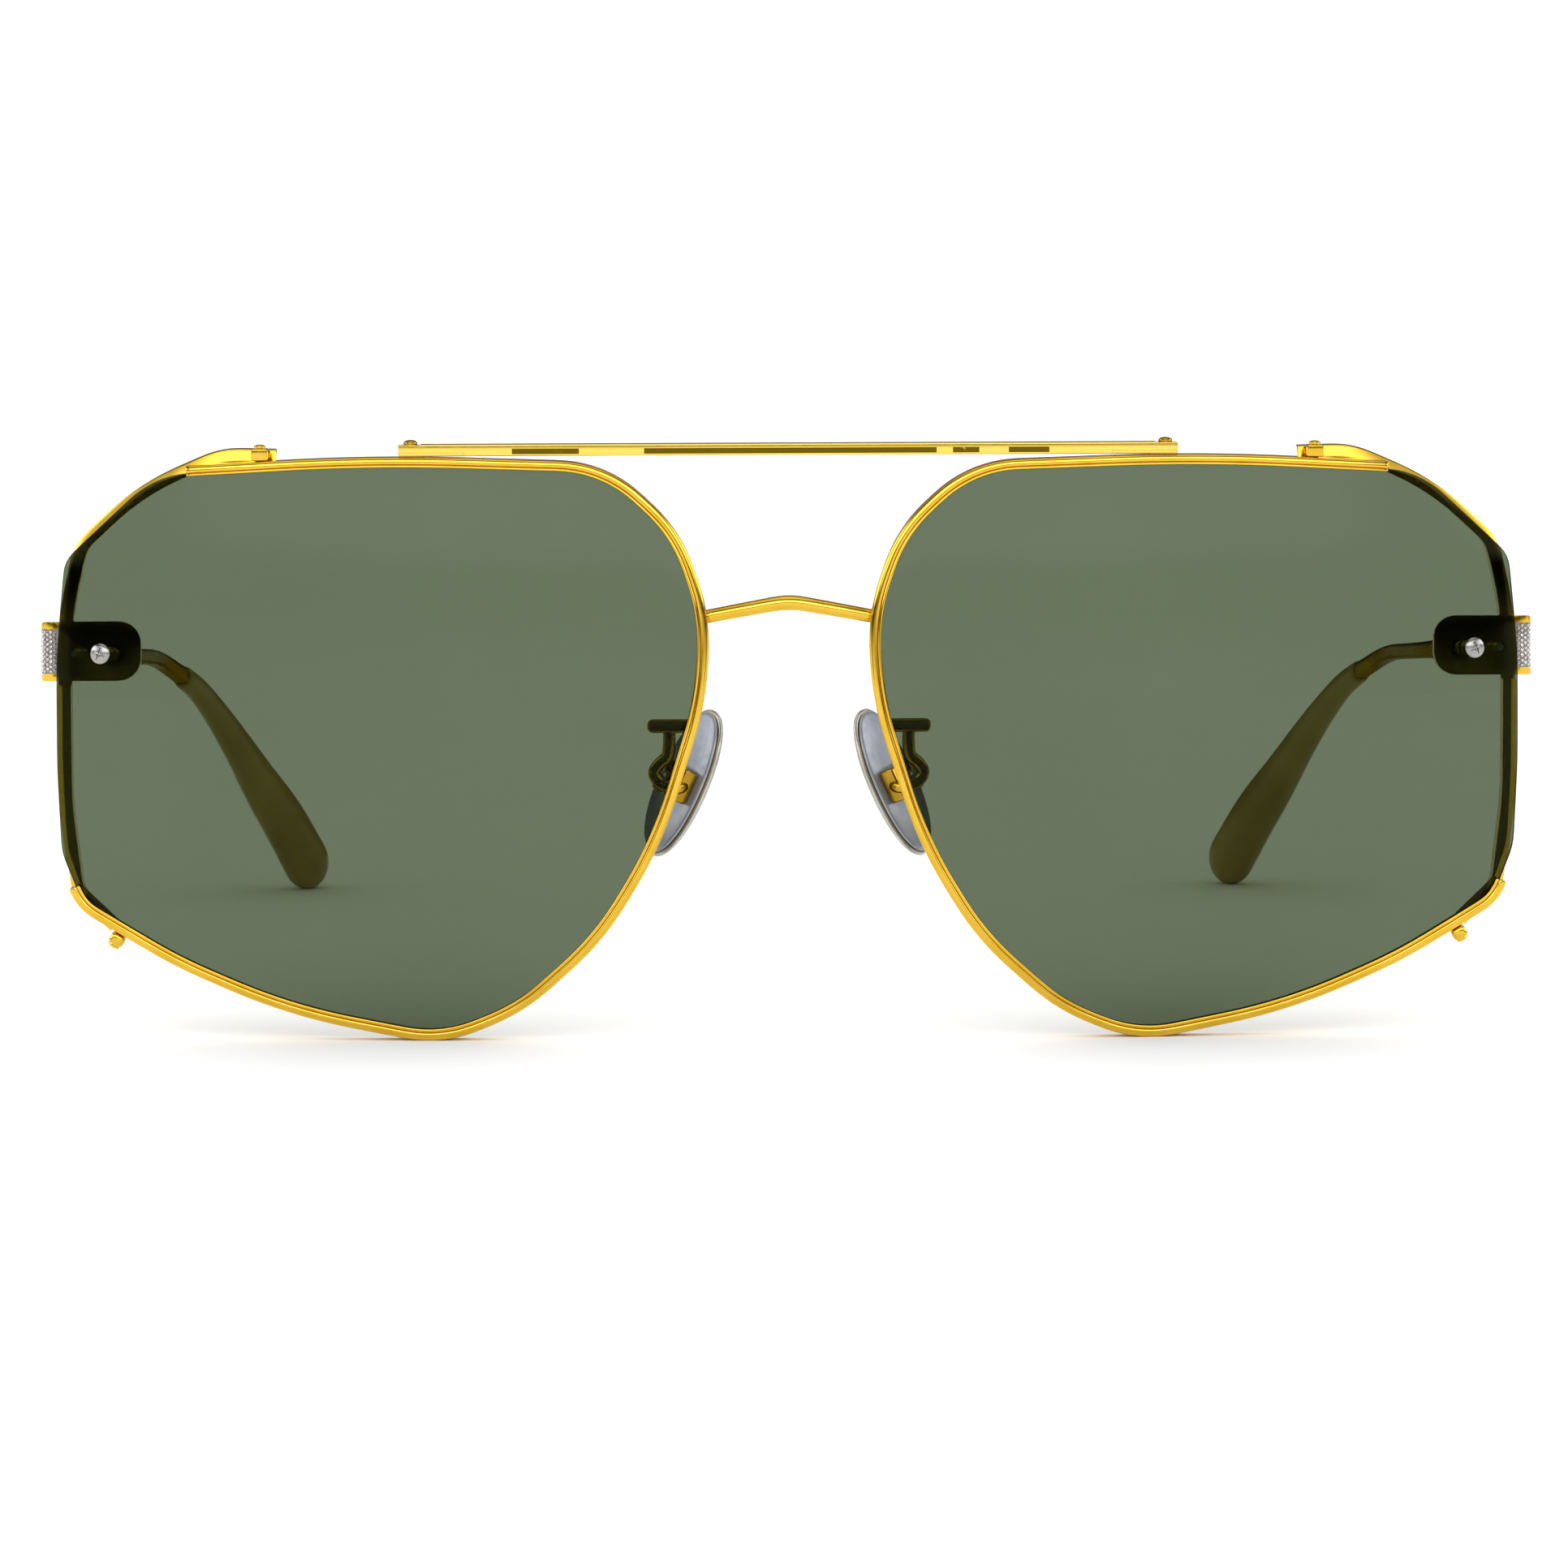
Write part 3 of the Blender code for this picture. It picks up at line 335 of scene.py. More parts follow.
def lens_edge_material():
    """The polished edge of the same lens, which gathers light."""
    material, tree, shader = shader_of("lens_edge")
    set_inputs(shader, Transmission_Weight=0.85, IOR=1.5)
    vary_colour(tree, noise(tree, 200), shader, (0.10, 0.14, 0.09), (0.16, 0.21, 0.14))
    vary_roughness(tree, noise(tree, 900), shader, 0.03, 0.10)
    return material


def acetate_material():
    """Honey coloured translucent acetate with soft clouds in it."""
    material, tree, shader = shader_of("honey_acetate")
    set_inputs(shader, Transmission_Weight=0.25, IOR=1.45, Specular_IOR_Level=0.3)
    vary_colour(tree, noise(tree, 180, 3, (1, 0.4, 1)), shader,
                (0.30, 0.20, 0.012), (0.44, 0.32, 0.035))
    vary_roughness(tree, noise(tree, 700, 3), shader, 0.08, 0.16)
    bump(tree, noise(tree, 350, 2), shader, 0.05, 0.0001)
    return material


def plastic(name, first, second, rough, metallic):
    """Moulded or lacquered surface with a faint satin texture."""
    material, tree, shader = shader_of(name)
    set_inputs(shader, Metallic=metallic, Coat_Weight=0.4, Coat_Roughness=0.08)
    vary_colour(tree, noise(tree, 400), shader, first, second)
    vary_roughness(tree, noise(tree, 1500), shader, rough * 0.8, rough * 1.25)
    bump(tree, noise(tree, 3500, 2), shader, 0.04, 0.00002)
    return material


LENS_TINT = (0.110, 0.140, 0.088)
LENS_TINT_DEEP = (0.106, 0.135, 0.085)
GOLD_TONE = (0.90, 0.62, 0.11)
# Dark streaks along the brow bar, painted reflections in the base colour, as (centre, half length)
PAINTED_REFLECTION_STREAKS = ((0.2, 14.4), (-23.9, 3.3), (17.5, 1.3), (23.7, 2.0))
# Tone of the painted reflection streaks, then their lift above the bar's bottom, their half height
# and their reach from its front
PAINTED_REFLECTION_TONE = (0.13, 0.085, 0.004)
PAINTED_REFLECTION_LIFT = 0.46
PAINTED_REFLECTION_HALF_HEIGHT = 0.27
PAINTED_REFLECTION_REACH = 0.4
GOLD = metal("polished_gold", (0.68, 0.42, 0.035), (0.74, 0.47, 0.055), 0.11)
# A dimmer, olive copy of the gold: painted shade on the temple bars and pad arms, which lie behind
# the lens
GOLD_PAINTED_OLIVE_SHADE = metal("gold_painted_olive_shade", (0.49, 0.32, 0.032), (0.53, 0.35, 0.040), 0.22,
                  edge=(0.35, 0.28, 0.06))
# A darker, browner gold for the brow screws, pad trim and pad box
GOLD_DARK = metal("darker_gold", (0.36, 0.21, 0.02), (0.46, 0.28, 0.03), 0.22)
# Near-black gold: painted shade on gold that lies behind the lens (rim lip, side band, end plate)
GOLD_PAINTED_BLACK_SHADE = metal("gold_painted_black_shade", (0.035, 0.030, 0.010), (0.055, 0.045, 0.015), 0.3)
GOLD_BAR_PAINTED_REFLECTION = painted_reflection_gold()
STEEL = metal("polished_steel", (0.27, 0.265, 0.25), (0.36, 0.35, 0.335), 0.24)
TIN = metal("bright_tin", (0.86, 0.86, 0.83), (0.92, 0.92, 0.90), 0.3)
# Near-black steel: painted shade in the lens bolt's cross recess and dimple
STEEL_PAINTED_RECESS_SHADE = metal("steel_painted_recess_shade", (0.05, 0.045, 0.03), (0.09, 0.075, 0.05), 0.3)
PAVE = metal("pave_silver", (0.20, 0.185, 0.17), (0.30, 0.28, 0.26), 0.35, grain=0.1)
STONE = metal("bright_beads", (0.48, 0.455, 0.43), (0.62, 0.60, 0.57), 0.12)
PAD_EDGE = plastic("pad_pearl", (0.40, 0.41, 0.40), (0.50, 0.51, 0.50), 0.22, 0.6)
PAD_GREY = plastic("pad_backing_grey", (0.25, 0.28, 0.35), (0.31, 0.34, 0.42), 0.35, 0.3)
LENS = lens_material()
LENS_EDGE = lens_edge_material()
ACETATE = acetate_material()


# -------- mesh tools

SHARP_ANGLE = 0.6
SWEEP_END_ROUND = 0.12


def mesh_from(build):
    """A mesh filled in by a bmesh builder function."""
    work = bmesh.new()
    build(work)
    bmesh.ops.remove_doubles(work, verts=work.verts, dist=1e-5)
    bmesh.ops.recalc_face_normals(work, faces=work.faces)
    mesh = bpy.data.meshes.new("work")
    work.to_mesh(mesh)
    work.free()
    return mesh


def edit(mesh, change):
    """Change a mesh in place through bmesh."""
    work = bmesh.new()
    work.from_mesh(mesh)
    change(work)
    work.to_mesh(mesh)
    work.free()
    return mesh


def moved(mesh, matrix):
    """The same mesh moved by a matrix."""
    mesh.transform(matrix)
    return mesh


def bevelled(mesh, width, segments):
    """Round the sharp edges of a mesh."""
    def change(work):
        sharp = [edge for edge in work.edges
                 if edge.is_manifold and edge.calc_face_angle(0) > SHARP_ANGLE]
        bmesh.ops.bevel(work, geom=sharp, offset=width, segments=segments, profile=0.5,
                        affect="EDGES", clamp_overlap=True)
    return edit(mesh, change)


def combined(mesh, *steps):
    """Apply (operation, other mesh) booleans in turn."""
    target = bpy.data.objects.new("target", mesh)
    bpy.context.scene.collection.objects.link(target)
    others = []
    for operation, other in steps:
        tool = bpy.data.objects.new("tool", other)
        bpy.context.scene.collection.objects.link(tool)
        tool.hide_render = True
        others.append(tool)
        modifier = target.modifiers.new("Boolean", "BOOLEAN")
        modifier.operation = operation
        modifier.solver = "EXACT"
        modifier.object = tool
    bpy.context.view_layer.update()
    result = bpy.data.meshes.new_from_object(
        target.evaluated_get(bpy.context.evaluated_depsgraph_get()))
    for scene_object in (target, *others):
        bpy.data.objects.remove(scene_object)
    return result


def block(size, centre=(0, 0, 0), round_by=0.0, segments=3):
    """A block with rounded edges."""
    def build(work):
        matrix = Matrix.Translation(centre) @ Matrix.Diagonal((*size, 1))
        bmesh.ops.create_cube(work, size=1, matrix=matrix)
        if round_by:
            bmesh.ops.bevel(work, geom=work.edges[:], offset=round_by, segments=segments,
                            profile=0.5, affect="EDGES")
    return mesh_from(build)


def turned(profile, steps=40):
    """A solid of revolution about Z from an (r, z) profile."""
    def build(work):
        rings = []
        for radius, height in profile:
            if radius < 1e-4:
                rings.append([work.verts.new((0, 0, height))])
                continue
            angles = [math.tau * step / steps for step in range(steps)]
            rings.append([work.verts.new((radius * math.cos(a), radius * math.sin(a), height))
                          for a in angles])
        for first, second in zip(rings, rings[1:]):
            for step in range(steps):
                corners = [first[step % len(first)], first[(step + 1) % len(first)],
                           second[(step + 1) % len(second)], second[step % len(second)]]
                unique = list(dict.fromkeys(corners))
                if len(unique) > 2:
                    work.faces.new(unique)
    return mesh_from(build)


def cylinder(radius, start, end, steps=40):
    """A plain cylinder along Z."""
    return turned([(0, end), (radius, end), (radius, start), (0, start)], steps)


def round_corners(corners, closed, tolerance=0.004):
    """Points of an outline of (x, z, radius) corners, with an arc at each corner."""
    points = []
    for index, (x, z, radius) in enumerate(corners):
        corner = Vector((x, z))
        if (not closed and index in (0, len(corners) - 1)) or radius <= 0:
            points.append(corner)
            continue
        before = (Vector(corners[index - 1][:2]) - corner).normalized()
        after = (Vector(corners[(index + 1) % len(corners)][:2]) - corner).normalized()
        half_angle = before.angle(after) / 2
        centre = corner + (before + after).normalized() * (radius / math.sin(half_angle))
        start = corner + before * (radius / math.tan(half_angle)) - centre
        sweep = math.copysign(math.pi - 2 * half_angle, after.cross(before))
        count = max(2, math.ceil(abs(sweep) / (2 * math.acos(1 - min(1, tolerance / radius)))))
        for step in range(count + 1):
            points.append(centre + Matrix.Rotation(sweep * step / count, 2) @ start)
    return points


def evenly(points, spacing, closed):
    """The same line with points at an even spacing."""
    line = [*points, points[0]] if closed else list(points)
    lengths = [0.0]
    for first, second in zip(line, line[1:]):
        lengths.append(lengths[-1] + (second - first).length)
    count = max(2, round(lengths[-1] / spacing))
    result = []
    index = 0
    for step in range(count if closed else count + 1):
        wanted = lengths[-1] * step / count
        while index < len(lengths) - 2 and lengths[index + 1] < wanted:
            index += 1
        span = max(lengths[index + 1] - lengths[index], 1e-9)
        result.append(line[index].lerp(line[index + 1], min(1, (wanted - lengths[index]) / span)))
    return result


def relaxed(points, passes, closed):
    """Ease the change of curvature between arcs and straights."""
    for _ in range(passes):
        eased = []
        for index, point in enumerate(points):
            if not closed and index in (0, len(points) - 1):
                eased.append(point)
                continue
            around = points[index - 1] + points[(index + 1) % len(points)]
            eased.append(point * 0.5 + around * 0.25)
        points = eased
    return points


def surface_y(x, z):
    """How far back the middle of the lens lies at (x, z)."""
    u = x - LENS_CENTRE.x
    w = z - LENS_CENTRE.y
    return BASE_RADIUS - math.sqrt(BASE_RADIUS ** 2 - u * u - w * w) + WRAP_SLOPE * u


def surface_frame(x, z):
    """A frame on the middle of the lens whose Z points forward, out of the lens."""
    step = 0.1
    slope_x = (surface_y(x + step, z) - surface_y(x - step, z)) / (2 * step)
    slope_z = (surface_y(x, z + step) - surface_y(x, z - step)) / (2 * step)
    forward = Vector((slope_x, -1, slope_z)).normalized()
    turn = forward.to_track_quat("Z", "Y")
    return Matrix.Translation((x, surface_y(x, z), z)) @ turn.to_matrix().to_4x4()


def inset(profile, amount):
    """A closed profile drawn in by an amount."""
    result = []
    for index, point in enumerate(profile):
        before = (point - profile[index - 1]).normalized()
        after = (profile[(index + 1) % len(profile)] - point).normalized()
        normal = Vector((-(before.y + after.y), before.x + after.x)).normalized()
        result.append(point + normal * amount)
    return result


def sweep_on_surface(path, profile, marked, lip_growth=0.0):
    """Sweep an anticlockwise (outward, forward) profile along an outline laid on the lens surface.

    The front lip (all that lies forward of LIP_START) grows inwards by lip_growth off the top.
    """
    last = len(path) - 1
    stations = [(0, ease) for ease in (0.0, 0.3, 1.0)]
    stations += [(index, None) for index in range(1, last)]
    stations += [(last, ease) for ease in (1.0, 0.3, 0.0)]
    rings = []
    for index, ease in stations:
        point = path[index]
        heading = (path[min(index + 1, last)] - path[max(index - 1, 0)]).normalized()
        drawn = 0.0
        if ease is not None:
            point = point + heading * SWEEP_END_ROUND * ease * (1 if index == 0 else -1)
            drawn = SWEEP_END_ROUND * (1 - math.sqrt(1 - (1 - ease) ** 2))
        outward = Vector((heading.y, -heading.x))
        section = inset(profile, drawn) if drawn else profile
        ring = []
        growth = lip_growth * min(1.0, 1.0 - outward.y)
        for across, forward in section:
            if forward > LIP_START:
                across -= growth * min(1.0, max(0.0, (0.5 - across) / 0.9))
            x = point.x + outward.x * across
            z = point.y + outward.y * across
            ring.append(Vector((x, surface_y(x, z) - forward, z)))
        rings.append(ring)
    return rings_mesh(rings, marked)


def skin(work, rings, marked=()):
    """Faces from each ring of vertices to the next; marked strips get material 1."""
    count = len(rings[0])
    for first, second in zip(rings, rings[1:]):
        for step in range(count):
            after = (step + 1) % count
            face = work.faces.new((first[step], first[after], second[after], second[step]))
            face.material_index = 1 if step in marked else 0


def rings_mesh(rings, marked=()):
    """A closed skin over rings of points, capped at each end; marked strips get material 1."""
    def build(work):
        made = [[work.verts.new(point) for point in ring] for ring in rings]
        skin(work, made, marked)
        work.faces.new(made[0])
        work.faces.new(made[-1])
    return mesh_from(build)


def smooth_path(points, steps):
    """Catmull-Rom vectors through points with any number of values each."""
    points = [Vector(point) for point in points]
    padded = [points[0] * 2 - points[1], *points, points[-1] * 2 - points[-2]]
    result = []
    for index in range(1, len(padded) - 2):
        a, b, c, d = padded[index - 1:index + 3]
        for step in range(steps):
            t = step / steps
            result.append(0.5 * (b * 2 + (c - a) * t + (a * 2 - b * 5 + c * 4 - d) * t ** 2
                                 + (b * 3 - a - c * 3 + d) * t ** 3))
    result.append(padded[-2])
    return result


def tube(points, radius, sides=24, end_round=0.2):
    """A round wire through 3D points with rounded ends; radius may be a function of 0 to 1."""
    size = radius if callable(radius) else (lambda _: radius)
    stations = [(point, size(index / (len(points) - 1))) for index, point in enumerate(points)]
    for _ in ("end", "start"):
        point, full = stations[-1]
        away = (point - stations[-2][0]).normalized()
        stations += [(point + away * end_round * math.sin(a), full - end_round * (1 - math.cos(a)))
                     for a in (0.4, 0.8, 1.2, 1.5)]
        stations.reverse()
    rings = []
    side = None
    for index, (point, full) in enumerate(stations):
        ahead = stations[min(index + 1, len(stations) - 1)][0]
        behind = stations[max(index - 1, 0)][0]
        heading = (ahead - behind).normalized()
        if side is None:
            side = heading.cross(Vector((0, 0, 1))).normalized()
        side = (side - heading * side.dot(heading)).normalized()
        up = side.cross(heading)
        rings.append([point + side * math.cos(a) * full + up * math.sin(a) * full
                      for a in (math.tau * step / sides for step in range(sides))])
    return rings_mesh(rings)


def rounded(share, power):
    """A cosine or sine bent so that a circle turns into a superellipse of that power."""
    return math.copysign(abs(share) ** (2 / power), share)


def loft(stations, sides=48, steps=8, power=2.0, start_round=0.15, dome=0.0):
    """A solid through stations whose section changes along the way, with eased ends."""
    path = smooth_path(stations, steps)
    sections = []
    for index, station in enumerate(path):
        ahead = path[min(index + 1, len(path) - 1)].to_3d()
        behind = path[max(index - 1, 0)].to_3d()
        sections.append((station.to_3d(), (ahead - behind).normalized(),
                         station[3] / 2, station[4] / 2))
    centre, heading, height, thickness = sections[0]
    start = [(centre + heading * start_round * along, heading, height - start_round * drawn,
              thickness - start_round * drawn)
             for along, drawn in ((0, 1), (0.08, 0.6), (0.3, 0.28), (0.6, 0.08))]
    sections = start + sections[1:]
    centre, heading, height, thickness = sections[-1]
    reach = dome or start_round
    depth = 1.0 if dome else start_round / min(height, thickness)
    for step in range(1, 13):
        angle = math.pi / 2 * step / 12.3
        shrink = 1 - depth * (1 - math.cos(angle))
        sections.append((centre + heading * reach * math.sin(angle), heading, height * shrink,
                         thickness * shrink))
    rings = []
    for centre, heading, height, thickness in sections:
        side = heading.cross(Vector((0, 0, 1))).normalized()
        up = side.cross(heading)
        ring = []
        for step in range(sides):
            angle = math.tau * (step + 0.5) / sides
            across = rounded(math.cos(angle), power)
            along = rounded(math.sin(angle), power)
            ring.append(centre + side * across * thickness + up * along * height)
        rings.append(ring)
    return rings_mesh(rings)


def plan_solid(corners, half_height):
    """Extrude a plan outline of (x, y, radius) corners to both sides along Z."""
    points = round_corners(corners, True, 0.01)
    rings = [[Vector((x, y, z)) for x, y in points] for z in (-half_height, half_height)]
    return rings_mesh(rings)


# -------- finishing

def piece(name, mesh, materials, body, replaced, smooth=35):
    """Make one visible piece, in place in the frame, riding on its body."""
    mesh.name = name
    mesh.transform(TO_FRAME)
    mesh.materials.clear()
    for material in materials:
        mesh.materials.append(material)
    mesh.shade_smooth()
    mesh.set_sharp_from_angle(angle=math.radians(smooth))
    made = bpy.data.objects.new(name, mesh)
    bpy.context.scene.collection.objects.link(made)
    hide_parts(*replaced)
    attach(made, body)


def pair(name, mesh, materials, nodes=(), body="front", smooth=35):
    """Make the right-hand piece and its mirrored copy on the left."""
    other = mesh.copy()
    other.transform(MIRROR)
    other.flip_normals()
    for side, shape in (("right", mesh), ("left", other)):
        own_body = body if body == "front" else f"{body}_{side}"
        piece(f"{name}_{side}", shape, materials, own_body,
              [f"{node}_{side}" for node in nodes], smooth)


def lens_outline():
    """Outline of one lens with even points and eased corners."""
    return relaxed(evenly(round_corners(LENS_CORNERS, True), 0.4, True), 3, True)


def rim_profile():
    """Rim section: a channel for the lens, with a broad and a fine ridge in front."""
    corner_x, corner_y, radius = RIM_OUTER_CORNER
    points = [*RIM_BACK]
    points += [(corner_x + radius * math.sin(a), corner_y - radius * math.cos(a))
               for a in (0.0, 0.5, 1.0, math.pi / 2)]
    for centre, half, peak, flatness in RIM_RIDGES:
        for step in range(11):
            angle = math.pi * step / 10
            lift = abs(math.sin(angle)) ** flatness
            points.append((centre + half * math.cos(angle), RIM_RIDGE_FOOT + peak * lift))
    points += RIM_FRONT_LIP
    return [Vector(point) for point in points]


def build_rim():
    """Rim wire round the lens."""
    outline = lens_outline()
    start = next(index for index, point in enumerate(outline)
                 if point.x <= RIM_TOP_END_X and outline[index - 1].x > RIM_TOP_END_X
                 and point.y > LENS_CENTRE.y)
    turned_outline = outline[start:] + outline[:start]
    path = [point for point in turned_outline
            if not (point.x > RIM_TOP_END_X and point.y > RIM_LOW_END_Z)]
    # The rim's back lip takes the painted shade
    mesh = sweep_on_surface(path, rim_profile(), marked=RIM_LIP_PAINTED_SHADE_STRIPS, lip_growth=LIP_GROWTH)
    pair("rim_wire", mesh, [GOLD, GOLD_PAINTED_BLACK_SHADE], ["rim"], smooth=40)


def build_lens():
    """Lens with curved faces, an eased polished edge, and holes for its screw and peg."""
    outline = evenly(lens_outline(), 0.6, True)
    ease = 0.14
    edge_steps = ((ease, 0.0), (ease * 0.35, ease * 0.12), (0.0, ease))

    def ring(scale, drawn, level):
        """One ring: the outline drawn in, scaled about the centre, at a level through the lens."""
        result = []
        for index, point in enumerate(outline):
            heading = outline[(index + 1) % len(outline)] - outline[index - 1]
            inward = Vector((-heading.y, heading.x)).normalized()
            spot = LENS_CENTRE + (point + inward * drawn - LENS_CENTRE) * scale
            u = (spot.x - LENS_CENTRE.x) / BASE_RADIUS + WRAP_SLOPE
            w = (spot.y - LENS_CENTRE.y) / BASE_RADIUS
            lean = math.sqrt(1 + u * u + w * w)
            result.append((spot.x, surface_y(spot.x, spot.y) + level * lean, spot.y))
        return result

    half = LENS_THICKNESS / 2

    def build(work):
        rings = []
        scales = [step / 14 for step in range(1, 15)]
        for side in (-1, 1):
            stack = [ring(scale, ease, side * half) for scale in scales]
            stack += [ring(1, drawn, side * (half - sunk)) for drawn, sunk in edge_steps[1:]]
            rings.append([[work.verts.new(point) for point in points] for points in stack])
        for stack in rings:
            level = sum((vert.co for vert in stack[0]), Vector()) / len(stack[0])
            hub = work.verts.new(level)
            count = len(stack[0])
            for step in range(count):
                work.faces.new((hub, stack[0][step], stack[0][(step + 1) % count]))
            skin(work, stack)
        skin(work, (rings[0][-1], rings[1][-1]), marked=range(len(outline)))

    through = (LENS_SCREW_AT, LENS_SCREW_HOLE, 4)
    blind = (LENS_PEG_AT, PEG_HOLE, PEG_HOLE_FRONT)
    holes = [("DIFFERENCE", moved(cylinder(radius, -4, front), surface_frame(*spot)))
             for spot, radius, front in (through, blind)]
    glass = combined(mesh_from(build), *holes)
    pair("lens_glass", glass, [LENS, LENS_EDGE], ["lens"], smooth=40)


def build_side_band():
    """Gold ribbon behind the free edge of the lens."""
    round_by = BAND_EDGE_ROUND
    profile = []
    for across, forward, turn in ((BAND_OUTER, -BAND_FRONT, 0), (-BAND_INNER, -BAND_FRONT, 1),
                                  (-BAND_INNER, -BAND_BACK, 2), (BAND_OUTER, -BAND_BACK, 3)):
        centre = Vector((across - math.copysign(round_by, across),
                         forward + (round_by if turn > 1 else -round_by)))
        for step in range(5):
            angle = math.pi / 2 * (turn + step / 4)
            profile.append(centre + Vector((math.cos(angle), math.sin(angle))) * round_by)
        if turn == 0:
            profile.append(Vector((-BAND_SHADE_START, forward)))
    path = relaxed(evenly(round_corners(BAND_CORNERS, False), 0.4, False), 3, False)
    mesh = sweep_on_surface(path, profile, marked=BAND_SHADE_STRIPS)
    # Front faces of the band behind the lens get the painted shade
    low, high = BAND_SHADE_HEIGHTS
    for face in mesh.polygons:
        if low < face.center.z < high and face.normal.y < -0.3:
            face.material_index = 1
    notch_z = LENS_SCREW_AT[1]
    notch_y = (surface_y(BAND_EDGE_X, notch_z) + BAND_FRONT + BAND_NOTCH_DEPTH
               - BAND_NOTCH_BLOCK.y / 2)
    place = (Matrix.Translation((BAND_NOTCH_X, notch_y, notch_z))
             @ Matrix.Rotation(-TEMPLE_SLOPE, 4, "X"))
    band = combined(mesh, ("DIFFERENCE", moved(block(BAND_NOTCH_BLOCK), place)))
    pair("edge_band", band, [GOLD, GOLD_PAINTED_BLACK_SHADE], ["side_band"], smooth=40)


def dome_screw(head, height, length, slot_width):
    """A small screw with a domed, eased head and a slot."""
    shank = 0.3
    profile = [(head * math.sin(a), height * (0.35 + 0.65 * math.cos(a)))
               for a in (0, 0.25, 0.5, 0.75, 1.0, 1.2, 1.4, math.pi / 2)]
    profile += [(head * 0.96, 0.0), (shank, 0.0), (shank, -length), (0, -length)]
    slot = moved(block((head * 4, slot_width, height * 0.7), (0, 0, height)),
                 Matrix.Rotation(0.4, 4, "Z"))
    return combined(turned(profile), ("DIFFERENCE", slot))


def build_posts():
    """Posts between rim and band and their little screws."""
    for name, (x, z, turn, width, round_by) in POSTS.items():
        place = Matrix.Translation((x, surface_y(x, z), z)) @ Matrix.Rotation(turn, 4, "Y")
        post = moved(block((width, POST_DEPTH, POST_HEIGHT), round_by=round_by), place)
        pair(f"post_{name}", post, [GOLD], [f"band_post_{name}"])
        screw = dome_screw(0.6, 0.42, POST_HEIGHT * 0.6, 0.14)
        screw.transform(place @ Matrix.Translation((0, 0, POST_HEIGHT / 2)))
        pair(f"post_screw_{name}", screw, [GOLD], [f"band_screw_{name}"])


def build_top_bar():
    """Brow bar with the lip, screw seat and screw at each end."""
    height = BAR_TOP - BAR_BOTTOM
    middle = (0, BAR_Y, BAR_BOTTOM + height / 2)
    mesh = block((2 * BAR_HALF_LENGTH, BAR_DEPTH, height), middle, 0.16, 4)
    steps = []
    for side in (1, -1):
        foot_at = (side * (BAR_HALF_LENGTH - BAR_FOOT_LENGTH / 2 - BAR_FOOT_INSET),
                   BAR_Y - BAR_DEPTH / 4 - BAR_FOOT_REACH,
                   BAR_BOTTOM + BAR_FOOT_HEIGHT / 2 + BAR_FOOT_LIFT)
        foot = block((BAR_FOOT_LENGTH, BAR_DEPTH / 2, BAR_FOOT_HEIGHT), foot_at, 0.08)
        seat = block((2 * BAR_DEPTH, 2 * BAR_DEPTH, 2 * BAR_SEAT_DEPTH),
                     (side * (BAR_SEAT_START_X + BAR_DEPTH), BAR_Y, BAR_TOP))
        steps += [("UNION", foot), ("DIFFERENCE", seat)]
    # The brow bar's front carries painted reflections: dark streaks in its base colour
    piece("brow_bar", combined(mesh, *steps), [GOLD_BAR_PAINTED_REFLECTION], "front", ["top_bar"], 40)
    screw = dome_screw(0.7, 0.55, 0.7, 0.16)
    screw.transform(Matrix.Translation((BAR_SCREW_X, BAR_Y, BAR_TOP - BAR_SEAT_DEPTH)))
    pair("brow_screw", screw, [GOLD_DARK], ["bar_screw"])


def build_bridge():
    """Bridge wire with its soft bend, a little thicker in the middle."""
    mirrored = [(-x, y, z) for x, y, z in reversed(BRIDGE_POINTS[:-1])]
    path = relaxed(smooth_path([*BRIDGE_POINTS, *mirrored], 12), 3, False)
    mesh = tube(path, lambda t: BRIDGE_RADIUS + BRIDGE_SWELL * math.sin(math.pi * t) ** 2, 32, 0.1)
    piece("bridge_wire", mesh, [GOLD], "front", ["bridge"], 50)


def wall_outline(inward, thickness, start_x, rear_y):
    """Plan of the end piece, or of a layer of it that starts inward of its outer face."""
    def front_y(x):
        """How far forward the layer's face is at x."""
        return PLATE_FRONT_Y + PLATE_SLOPE * (x - PLATE_INNER_X) + inward * PLATE_SLANT

    outer_x = WALL_OUTER_X - inward
    inner_x = outer_x - thickness
    drop = thickness * PLATE_SLANT
    return (
        (start_x, front_y(start_x) + drop, 0), (start_x, front_y(start_x), 0),
        (outer_x, front_y(outer_x), WALL_CORNER - inward), (outer_x, rear_y, 0),
        (inner_x, rear_y, 0),
        (inner_x, front_y(inner_x) + drop, max(0.3, WALL_CORNER - inward - thickness)),
    )


